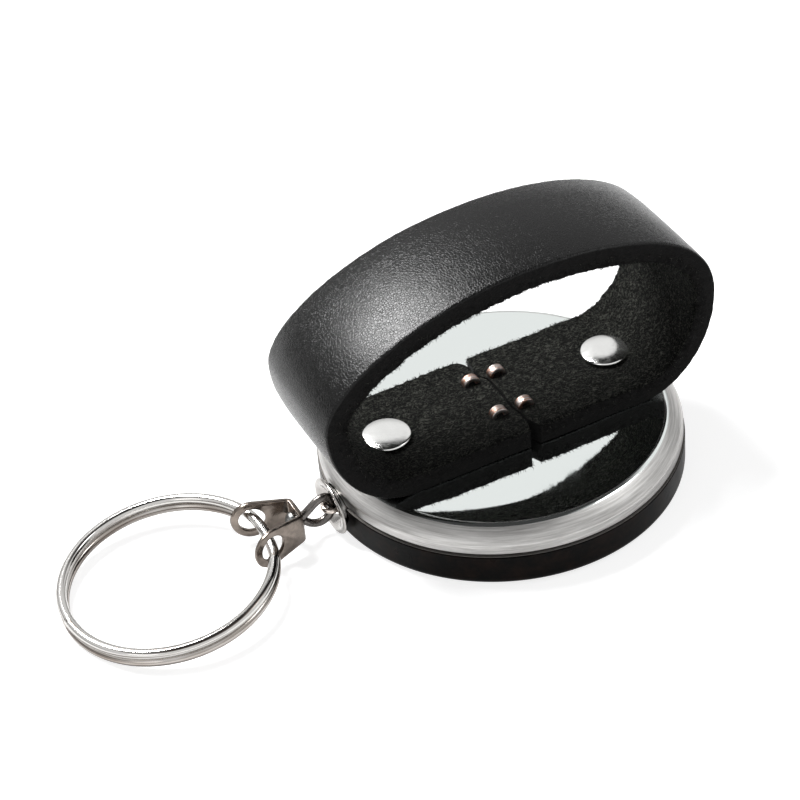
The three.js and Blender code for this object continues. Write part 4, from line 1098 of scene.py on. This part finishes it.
class KEYREEL_OT_ring(bpy.types.Operator):
    """Split ring: one flattened wire of two turns"""

    bl_idname = "key_reel.ring"
    bl_label = "Split ring"

    def execute(self, context):
        low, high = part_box("split_ring")
        size = sizes()
        pivot = joint_place("ring_swing")
        radius = (high.y - low.y) / 2 - size.ring_wire / 2
        climb, end = size.ring_climb, size.ring_end
        pitch = size.ring_turn + size.ring_gap
        points = []
        for turn in np.linspace(end, 2 - climb - end, 191):
            share = min(max((turn - (1 - climb)) / climb, 0), 1)
            level = pitch / 2 - pitch * share * share * (3 - 2 * share)
            angle = (1 - climb / 2 - turn) * math.tau
            points.append((radius * math.cos(angle), radius * math.sin(angle), level))
        ring = self.swept(points, size.ring_wire / 2, size.ring_turn / 2)
        back = math.sqrt(radius**2 - clevis_places()[1] ** 2)
        drop = pivot.z - (pitch + size.ring_turn) / 2
        tilt = math.asin(drop / (back + (high.y - low.y) / 2))
        places = vertex_array(ring)
        round_way = np.arctan2(places[:, 1], places[:, 0]) * radius
        outward = np.hypot(places[:, 0], places[:, 1]) - radius
        keep_places(ring, "wire", np.column_stack([round_way, outward, places[:, 2]]))
        place = Matrix.Translation(pivot) @ Matrix.Rotation(-tilt, 4, "Y") @ Matrix.Translation((-back, 0, 0))
        ring.data.transform(place)
        smooth(ring, 50)
        settle(ring, "split_ring_wire", "ring", [drawn_wire()], ["split_ring"])
        return {"FINISHED"}

    def swept(self, points, half_width, half_height):
        """A flattened wire with round shoulders, swept along the points."""
        deselect()
        bpy.ops.curve.primitive_bezier_circle_add(radius=1)
        section = bpy.context.object
        fullness = sizes().ring_square
        for point in section.data.splines[0].bezier_points:
            side = Vector(point.co)
            along = (Vector(point.handle_right) - side).normalized()
            point.handle_left_type = point.handle_right_type = "FREE"
            point.handle_right = side + along * fullness
            point.handle_left = side - along * fullness
        for point in section.data.splines[0].bezier_points:
            for name in ("co", "handle_left", "handle_right"):
                place = getattr(point, name)
                setattr(point, name, (place[0] * half_width, place[1] * half_height, 0))
        section.data.resolution_u = 5
        deselect()
        bpy.ops.curve.primitive_nurbs_path_add()
        wire = bpy.context.object
        wire.data.splines.clear()
        spline = wire.data.splines.new("POLY")
        spline.points.add(len(points) - 1)
        for point, place in zip(spline.points, points):
            point.co = (*place, 1)
        wire.data.twist_mode = "Z_UP"
        wire.data.bevel_mode = "OBJECT"
        wire.data.bevel_object = section
        wire.data.use_fill_caps = True
        bpy.ops.object.convert(target="MESH")
        bpy.data.objects.remove(section)
        return bpy.context.object


# Belt loop


def loop_outline(step):
    """Places and inward normals along the strap's grain face, evenly spaced, from end to end."""
    low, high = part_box("belt_loop")
    size = sizes()
    gap, flat, half = size.strap_gap, size.strap_flat, high.x
    equator = low.z + size.loop_equator
    lower, upper = size.loop_equator, high.z - equator
    quarter = np.radians(np.linspace(-90, 0, 400))
    half_turn = np.radians(np.linspace(0, 180, 1600))
    right_x, right_z = flat + (half - flat) * np.cos(quarter), equator + lower * np.sin(quarter)
    lean = size.loop_lean * np.sin(np.sin(half_turn) * math.pi / 2) ** 2
    top_x, top_z = half * np.cos(half_turn) + lean, equator + upper * np.sin(half_turn)
    x = np.concatenate([[gap], right_x, top_x[1:], -right_x[::-1][1:], [-gap]])
    z = np.concatenate([[low.z], right_z, top_z[1:], right_z[::-1][1:], [low.z]])
    run = np.concatenate([[0], np.cumsum(np.hypot(np.diff(x), np.diff(z)))])
    even = np.linspace(0, run[-1], int(run[-1] / step) + 1)
    x, z = np.interp(even, run, x), np.interp(even, run, z)
    dx, dz = np.gradient(x), np.gradient(z)
    length = np.hypot(dx, dz)
    return even, x, z, -dz / length, dx / length


def end_contours(across):
    """How far each strap end stands back from the butt joint's middle, right and left, at places across."""
    mm = across / MM
    # The cut wanders: places across the strap, and how far the joint strays there, in millimetres
    places = [-9.5, -7, -5.6, -4.2, -2.8, -1.3, 1, 2.9, 3.8, 4.7, 6.5, 7.5, 9.5]
    course = [0.9, 0.6, 0.53, 0.36, 0.31, 0.38, 0.5, 0.43, 0.35, -0.3, -0.5, -0.35, -0.3]
    crack = np.interp(mm, places, course)
    butt = 0.2
    # The near corners are worn back, the left one torn too, and the far left corner is cut round
    near = ramp(mm, -7.4, -9.5) ** 1.1
    torn = ramp(mm, -7.9, -8.4) + 0.6 * ramp(mm, -8.9, -9.2)
    far = ramp(mm, 8.4, 9.5) ** 2
    rounding = 1 - np.sqrt(1 - 0.97 * ramp(mm, 6.4, 9.5) ** 2)
    right = butt + crack + 0.6 * near + 0.35 * far
    left = butt - crack + 0.5 * near + 0.12 * torn + 2.3 * rounding
    return right * MM, left * MM


def strap_blank(length, width, thickness, cuts):
    """The strap laid flat along X, with so many even cuts across each axis."""
    deselect()
    middle = (length / 2, 0, thickness / 2)
    bpy.ops.mesh.primitive_cube_add(size=1, location=middle)
    blank = bpy.context.object
    blank.scale = (length, width, thickness)
    bpy.ops.object.transform_apply(location=True, rotation=True, scale=True)
    bpy.context.tool_settings.mesh_select_mode = (False, True, False)
    for axis, count in cuts:
        mesh = blank.data
        mesh.vertices.foreach_set("select", [False] * len(mesh.vertices))
        mesh.polygons.foreach_set("select", [False] * len(mesh.polygons))
        places = vertex_array(blank)
        ends = np.array([edge.vertices[:] for edge in mesh.edges])
        steps = np.abs(places[ends[:, 0]] - places[ends[:, 1]])
        mesh.edges.foreach_set("select", (steps.argmax(axis=1) == axis).tolist())
        bpy.ops.object.mode_set(mode="EDIT")
        bpy.ops.mesh.subdivide(number_cuts=count)
        bpy.ops.object.mode_set(mode="OBJECT")
    bpy.context.tool_settings.mesh_select_mode = (True, False, False)
    return blank


def crowd(values, half, share):
    """Moves evenly spaced values towards plus and minus half, where edges need more points."""
    unit = values / half
    return half * (unit * (1 + share) - share * unit**3)


class KEYREEL_OT_loop(bpy.types.Operator):
    """Leather strap, bent into the belt loop, with the fuzz on its cut edges"""

    bl_idname = "key_reel.loop"
    bl_label = "Belt loop"

    def execute(self, context):
        low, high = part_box("belt_loop")
        thickness, width = sizes().strap_thickness, high.y - low.y
        run, x, z, nx, nz = loop_outline(0.1 * MM)
        length = run[-1]
        across_cuts, through_cuts, along_cuts = (1, 59), (2, 9), ((0, 24), (0, 19))
        strap = strap_blank(length, width, thickness, (across_cuts, through_cuts, *along_cuts))
        blank = vertex_array(strap)
        blank[:, 1] = crowd(blank[:, 1], width / 2, 0.38)
        blank[:, 2] = thickness / 2 + crowd(blank[:, 2] - thickness / 2, thickness / 2, 0.3)
        faces = self.leather_faces(strap, blank)
        shaped = self.weathered(blank, length, width, thickness)
        places = self.bent(shaped, run, x, z, nx, nz)
        set_vertices(strap, places)
        keep_places(strap, "blank", shaped)
        smooth(strap, 60)
        materials = [leather_grain(), leather_flesh(), leather_edge()]
        settle(strap, "belt_loop_strap", "case", materials, ["belt_loop"])
        strap.data.polygons.foreach_set("material_index", faces)
        self.fuzz(shaped, places, strap, thickness, width)
        return {"FINISHED"}

    def leather_faces(self, strap, blank):
        """Material of each face: grain outside, flesh inside, cut edge round the sides."""
        set_vertices(strap, blank)
        upward = np.array([face.normal.z for face in strap.data.polygons])
        return np.where(upward < -0.7, 0, np.where(upward > 0.7, 1, 2)).tolist()

    def weathered(self, blank, length, width, thickness):
        """The blank with rounded corners, uneven cut edges, shaped ends and dents at its fastenings."""
        shaped = blank.copy()
        along, across, depth = shaped[:, 0], shaped[:, 1], shaped[:, 2]
        half = width / 2
        side = np.abs(across) / half
        flesh_side = depth > thickness - 0.02 * MM
        # Both corners are worn, the far edge has rolled over, and the cut has drawn the grain side in
        corner, grain_corner, flesh_corner = 0.5 * MM, 0.275 * MM, 0.25 * MM
        roll_start, roll_fall, drawn_in = 5.2 * MM, 0.2 * MM, 0.1 * MM
        into = ramp(np.abs(across), half - corner, half)
        grain_fall = roll_fall * ramp(across, roll_start, half) ** 1.5 + drawn_in * side**2
        grain_fall += grain_corner * (1 - np.sqrt(1 - 0.9 * into**2))
        flesh_rise = flesh_corner * into**3
        depth[:] = grain_fall + depth * (thickness - grain_fall - flesh_rise) / thickness
        # The knife wandered along both edges, whose fibres tear most towards the flesh side
        edge = np.sign(across) * width
        wander = ripple(along, edge, depth * 0.3, 9, 0.12, 1) + ripple(along, edge, depth * 0.3, 1.3, 0.05, 2)
        fuzzy = ramp(depth, thickness / 2, thickness)
        torn = ripple(along, edge, depth, 0.6, 0.07, 3) * (1 + 2.86 * fuzzy)
        torn += np.minimum(ripple(along, edge, depth * 0.5, 1.7, 0.3, 6), 0) * fuzzy
        across += np.sign(across) * np.where(side > 0.97, wander + torn, 0)
        # The flesh side has a nap, and rolls where the hide was loose
        level = np.zeros(len(depth))
        nap = ripple(along, across, level, 1.0, 0.07, 4) + ripple(along, across * 1.4, level, 0.5, 0.05, 7)
        rolls = ripple(along, across * 0.5, level, 7, 0.07, 5)
        depth += np.where(flesh_side, nap + rolls, 0)
        right, left = end_contours(across)
        blend, gap = 5 * MM, sizes().strap_gap
        along += ramp(along, blend, 0) * (right - gap) - ramp(length - along, blend, 0) * (left - gap)
        self.dents(shaped, length, flesh_side)
        return shaped

    def dents(self, shaped, length, flesh_side):
        """Hollows that the rivet caps and the staple legs press into the flesh side."""
        cap_dent, cap_reach = 0.3 * MM, 0.9 * MM
        leg_dent, leg_reach = 0.22 * MM, 0.8 * MM
        gap, y = sizes().strap_gap, shaped[:, 1]
        x = np.where(shaped[:, 0] < length / 2, shaped[:, 0] + gap, shaped[:, 0] - length - gap)
        low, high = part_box("rivet_cap_right")
        rivet_x, cap = (low.x + high.x) / 2, (high.x - low.x) / 2
        low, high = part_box("staple_far")
        staple_y = (low.y + high.y) / 2
        for side in (-1, 1):
            dent = cap_dent * hollow(np.hypot(x - side * rivet_x, y) - cap, cap_reach)
            shaped[:, 2] -= np.where(flesh_side, dent, 0)
            leg_x = side * sizes().staple_crown / 2
            tip_x = leg_x - side * sizes().staple_curl
            for leg_y in (-staple_y, staple_y):
                dent = hollow(np.hypot(x - leg_x, y - leg_y), leg_reach)
                dent += hollow(np.hypot(x - tip_x, y - leg_y), leg_reach)
                shaped[:, 2] -= np.where(flesh_side, leg_dent * dent, 0)

    def bent(self, shaped, run, x, z, nx, nz):
        """The flat strap laid along the loop's outline."""
        at = np.clip(shaped[:, 0], 0, run[-1])
        over = shaped[:, 0] - at
        place_x, place_z = np.interp(at, run, x) + over, np.interp(at, run, z)
        normal_x, normal_z = np.interp(at, run, nx), np.interp(at, run, nz)
        return np.column_stack(
            [place_x + normal_x * shaped[:, 2], shaped[:, 1], place_z + normal_z * shaped[:, 2]]
        )

    def fuzz(self, shaped, places, strap, thickness, width):
        """Short fibres that stand out of the flesh side, most of them along its cut edges."""
        draw = random.Random(7)
        fibre_width, fibre_length = 0.055 * MM, 0.4 * MM
        edge_count, inside_count = 5200, 4200
        border, stray, sunk = 0.96, 0.14 * MM, 0.08 * MM
        normals = np.array([vertex.normal for vertex in strap.data.vertices])
        side = np.abs(shaped[:, 1]) / (width / 2)
        edge = np.flatnonzero((side > border) & (shaped[:, 2] > 0.45 * thickness))
        inside = np.flatnonzero((side < border) & (shaped[:, 2] > thickness - 0.8 * MM))
        chosen = [draw.choice(edge) for _ in range(edge_count)]
        chosen += [draw.choice(inside) for _ in range(inside_count)]
        deselect()
        middle = (0, 0, fibre_length / 2)
        bpy.ops.mesh.primitive_cone_add(vertices=3, radius1=fibre_width, depth=fibre_length, location=middle)
        fibres = bpy.context.object
        bpy.ops.object.transform_apply(location=True, rotation=True, scale=True)
        shape = vertex_array(fibres)
        faces = [list(face.vertices) for face in fibres.data.polygons]
        all_places, all_faces, all_blank = [], [], []
        for count, index in enumerate(chosen):
            spread = [draw.gauss(0, 1) for _ in range(3)]
            out = (Vector(normals[index]) * 1.1 + Vector(spread) * 0.75).normalized()
            turn = np.array(out.to_track_quat("Z", "Y").to_matrix())
            grow = np.array([1, 1, draw.uniform(0.5, 1.5) * (1.0 if side[index] > border else 0.6)])
            shift = np.array([draw.uniform(-stray, stray) for _ in range(3)])
            root = places[index] - np.array(out) * sunk + shift
            all_places.append((shape * grow) @ turn.T + root)
            all_blank.append(np.repeat([shaped[index]], len(shape), axis=0))
            all_faces += [[corner + count * len(shape) for corner in face] for face in faces]
        fibres.data.clear_geometry()
        fibres.data.from_pydata(np.vstack(all_places).tolist(), [], all_faces)
        keep_places(fibres, "blank", np.vstack(all_blank))
        flesh = bpy.data.materials["leather flesh side"]
        settle(fibres, "belt_loop_fibres", "case", [flesh])


class KEYREEL_OT_rivets(bpy.types.Operator):
    """Domed rivet caps, each with its pin"""

    bl_idname = "key_reel.rivets"
    bl_label = "Rivets"

    def execute(self, context):
        material = plated("nickel plated cap", finishes().rivet_nickel, 0.17, 0.004, 0.96, 0.005)
        size = sizes()
        for name in ("rivet_cap_left", "rivet_cap_right"):
            low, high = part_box(name)
            middle_x, radius = (low.x + high.x) / 2, (high.x - low.x) / 2
            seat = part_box("belt_loop")[0].z + size.strap_thickness - size.rivet_bite
            rim, pin, dome = size.rivet_rim, size.rivet_pin, size.rivet_dome
            top, slope = high.z - size.rivet_flat, math.radians(15)
            edge = radius - rim * (1 - math.sin(slope))
            middle = top - dome - rim * math.cos(slope)
            profile = [
                (0, low.z),
                (pin, low.z),
                (pin, seat),
                (radius - rim, seat),
                *arc(radius - rim, middle, rim, rim, -40, 90 - math.degrees(slope), 10),
                *[(edge * share, top - dome * share**3) for share in np.linspace(0.95, 0, 20)],
            ]
            cap = turned(profile, 72)
            cap.data.transform(Matrix.Translation((middle_x, 0, 0)))
            smooth(cap, 50)
            settle(cap, name + "_dome", "case", [material], [name])
        return {"FINISHED"}


class KEYREEL_OT_staples(bpy.types.Operator):
    """Clinched staples across the butt joint"""

    bl_idname = "key_reel.staples"
    bl_label = "Staples"

    def execute(self, context):
        material = coppered_wire()
        size = sizes()
        for name in ("staple_near", "staple_far"):
            low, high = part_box(name)
            wire = size.staple_wire / 2
            leg, curl = size.staple_crown / 2, size.staple_curl / 2
            y, width = (low.y + high.y) / 2, high.y - low.y
            crown = low.z + wire
            # Each leg rises through the strap, and its tip curls over and back into the flesh side
            rise, corner, sunk = 0.7 * MM, 0.4 * MM, 0.45 * MM
            bow = high.z - wire - sunk - rise
            curled = arc(leg - curl, bow, curl, rise, 215, 0, 14)
            right = [*curled, (leg, crown + corner), (leg - corner, crown)]
            left = [(-x, z) for x, z in reversed(right)]
            # The two tips end apart, so the wire is drawn from one tip, under the strap, to the other
            path = [(x, y, z) for x, z in [*right, *left]]
            staple = strip_along(path, (0, width, 0), size.staple_wire)
            soften(staple, size.staple_round, 3, 50)
            smooth(staple, 50)
            settle(staple, name + "_wire", "case", [material], [name])
        return {"FINISHED"}


class KEYREEL_OT_inside(bpy.types.Operator):
    """Finishes of the pieces inside the case, which keep their solids"""

    bl_idname = "key_reel.inside"
    bl_label = "Inside pieces"

    def execute(self, context):
        steel = plated("cold drawn steel", finishes().plain_steel, 0.3, 0.05)
        blue = plated("tempered spring strip", finishes().spring_blue, 0.28, 0.03)
        nickel = bpy.data.materials["nickel plated chain wire"]
        acetal = moulded_acetal()
        finish_of = {
            "centre_post": steel,
            "thrust_washer": steel,
            "spool_cover": steel,
            "rivet_post_left": steel,
            "rivet_post_right": steel,
            "power_spring": blue,
            "chain_coil": nickel,
            "spool_drum": acetal,
        }
        for name, material in finish_of.items():
            piece = frame["nodes"][name]
            for place in piece.material_slots:
                place.material = material
        return {"FINISHED"}


# Stage


class KEYREEL_OT_stage(bpy.types.Operator):
    """Pale floor, soft studio light and the camera"""

    bl_idname = "key_reel.stage"
    bl_label = "Stage"

    def execute(self, context):
        stage = context.scene.key_reel_stage
        self.world(stage)
        self.floor(stage)
        # Each softbox's place and side, in metres
        self.softbox("back softbox", (-0.28, 0.63, 0.99), 0.5, stage.back_power)
        self.softbox("right softbox", (0.74, -0.26, 1.03), 0.35, stage.right_power)
        self.softbox("left front softbox", (-1.1, -0.7, 0.6), 0.6, stage.fill_power)
        self.camera(stage)
        context.scene.view_settings.view_transform = "Standard"
        return {"FINISHED"}

    def world(self, stage):
        """White to the camera. Polished surfaces see grey walls, pale panels and a dark ceiling instead."""
        world = bpy.context.scene.world or bpy.data.worlds.new("studio")
        bpy.context.scene.world = world
        world.use_nodes = True
        tree = world.node_tree
        tree.nodes.clear()
        heading = node(tree, "TexCoord", output="Generated")
        parts = node(tree, "SeparateXYZ", {0: heading}).node.outputs
        wall, panel, ceiling = stage.wall_light, stage.panel_light, stage.ceiling_light
        front = stage.front_light
        # Height in the room, from 0 at the horizon to 1 overhead, and the light there
        behind = ((0.0, wall), (0.2, wall), (0.45, panel), (0.74, panel), (0.83, ceiling))
        ahead = ((0.0, panel), (0.2, panel), (0.4, front), (0.85, front), (0.93, ceiling))
        sides = []
        for levels in (behind, ahead):
            room_light = node(tree, "ValToRGB", {"Fac": parts["Z"]}, "Color")
            elements = room_light.node.color_ramp.elements
            while len(elements) < len(levels):
                elements.new(0.5)
            for element, (place, light) in zip(elements, levels):
                element.position = place
                element.color = (light, light, light, 1)
            sides.append(room_light)
        share = node(tree, "MapRange", {"Value": parts["Y"], 1: -0.25, 2: 0.15, 3: 0, 4: 1})
        room = node(tree, "Mix", {0: share, 2: sides[1], 3: sides[0]}, data_type="FLOAT")
        path = node(tree, "LightPath").node.outputs
        reflected = {0: path["Is Glossy Ray"], 1: path["Is Transmission Ray"]}
        reflected = node(tree, "Math", reflected, operation="MAXIMUM")
        light = {0: reflected, 2: stage.ambient, 3: room}
        light = node(tree, "Mix", light, data_type="FLOAT")
        light = node(tree, "Mix", {0: path["Is Camera Ray"], 2: light, 3: 1}, data_type="FLOAT")
        back = node(tree, "Background", {"Color": (1, 1, 1, 1), "Strength": light})
        node(tree, "OutputWorld", {"Surface": back})

    def floor(self, stage):
        """Pale paper that shows white to the camera and keeps the key reel's shadow."""
        deselect()
        bpy.ops.mesh.primitive_plane_add(size=stage.floor_size, location=(0, 0, -0.05 * MM))
        floor = bpy.context.object
        floor.name = "floor"
        bpy.ops.object.transform_apply(location=True, rotation=True, scale=True)
        material, tree = new_material("pale paper")
        diffuse = node(tree, "BsdfDiffuse", {"Color": (*[stage.floor_shade] * 3, 1)})
        path = node(tree, "LightPath").node.outputs
        mirrored = {0: path["Is Glossy Ray"], 1: path["Is Transmission Ray"]}
        mirrored = node(tree, "Math", mirrored, operation="MAXIMUM")
        mirrored = node(tree, "Math", {0: mirrored, 1: stage.floor_mirrored}, operation="MULTIPLY")
        # Away from the key reel the lamps fade, and the paper's own light takes over
        where = node(tree, "TexCoord", output="Object")
        reach = node(tree, "VectorMath", {0: where}, "Value", operation="LENGTH")
        near = node(tree, "MapRange", {"Value": reach, 1: 0.3, 2: 1.5, 3: stage.floor_lift, 4: 1})
        seen = node(tree, "Math", {0: path["Is Camera Ray"], 1: near}, operation="MULTIPLY")
        lift = node(tree, "Math", {0: mirrored, 1: seen}, operation="ADD")
        glow = node(tree, "Emission", {"Strength": lift})
        both = node(tree, "AddShader", {0: diffuse, 1: glow})
        node(tree, "OutputMaterial", {"Surface": both})
        floor.data.materials.append(material)

    def softbox(self, name, place, side, power):
        """A square lamp that faces the key reel."""
        deselect()
        turn = (-Vector(place)).to_track_quat("-Z", "Y").to_euler()
        bpy.ops.object.light_add(type="AREA", location=place, rotation=turn)
        lamp = bpy.context.object
        lamp.name = name
        lamp.data.size = side
        lamp.data.energy = power

    def camera(self, stage):
        """The photograph's camera, aimed by its turn, height and roll."""
        deselect()
        bpy.ops.object.camera_add()
        camera = bpy.context.object
        turn, height, roll = stage.azimuth, stage.elevation, stage.roll
        ahead = Vector(
            (math.sin(turn) * math.cos(height), math.cos(turn) * math.cos(height), -math.sin(height))
        )
        level = Vector((math.cos(turn), -math.sin(turn), 0))
        upright = level.cross(ahead)
        right = math.cos(roll) * level + math.sin(roll) * upright
        up = -math.sin(roll) * level + math.cos(roll) * upright
        axes = Matrix((right, up, -ahead)).transposed().to_4x4()
        place = Vector(stage.aim) - ahead * stage.distance
        camera.matrix_world = Matrix.Translation(place) @ axes
        film_width = 36
        camera.data.lens, camera.data.sensor_width = stage.lens, film_width
        camera.data.clip_start, camera.data.clip_end = 0.01, 20
        bpy.context.scene.camera = camera


class KEYREEL_PT_panel(bpy.types.Panel):
    """Lists the key reel's pieces"""

    bl_idname = "KEYREEL_PT_panel"
    bl_label = "Key Reel"
    bl_space_type = "VIEW_3D"
    bl_region_type = "UI"
    bl_category = "Key Reel"

    def draw(self, context):
        for operator in PIECES:
            self.layout.operator(operator.bl_idname)


PIECES = (
    KEYREEL_OT_cover,
    KEYREEL_OT_shell,
    KEYREEL_OT_nozzle,
    KEYREEL_OT_chain,
    KEYREEL_OT_swivel,
    KEYREEL_OT_ring,
    KEYREEL_OT_loop,
    KEYREEL_OT_rivets,
    KEYREEL_OT_staples,
    KEYREEL_OT_inside,
    KEYREEL_OT_stage,
)
GROUPS = (
    ("key_reel_sizes", KeyReelSizes),
    ("key_reel_finishes", KeyReelFinishes),
    ("key_reel_stage", KeyReelStage),
)


def register():
    for name, group in GROUPS:
        bpy.utils.register_class(group)
        setattr(bpy.types.Scene, name, PointerProperty(type=group))
    for operator in PIECES:
        bpy.utils.register_class(operator)
    bpy.utils.register_class(KEYREEL_PT_panel)


def unregister():
    bpy.utils.unregister_class(KEYREEL_PT_panel)
    for operator in reversed(PIECES):
        bpy.utils.unregister_class(operator)
    for name, group in reversed(GROUPS):
        delattr(bpy.types.Scene, name)
        bpy.utils.unregister_class(group)


def main():
    register()
    for operator in PIECES:
        group, name = operator.bl_idname.split(".")
        getattr(getattr(bpy.ops, group), name)()
    deselect()


if __name__ == "__main__":
    main()
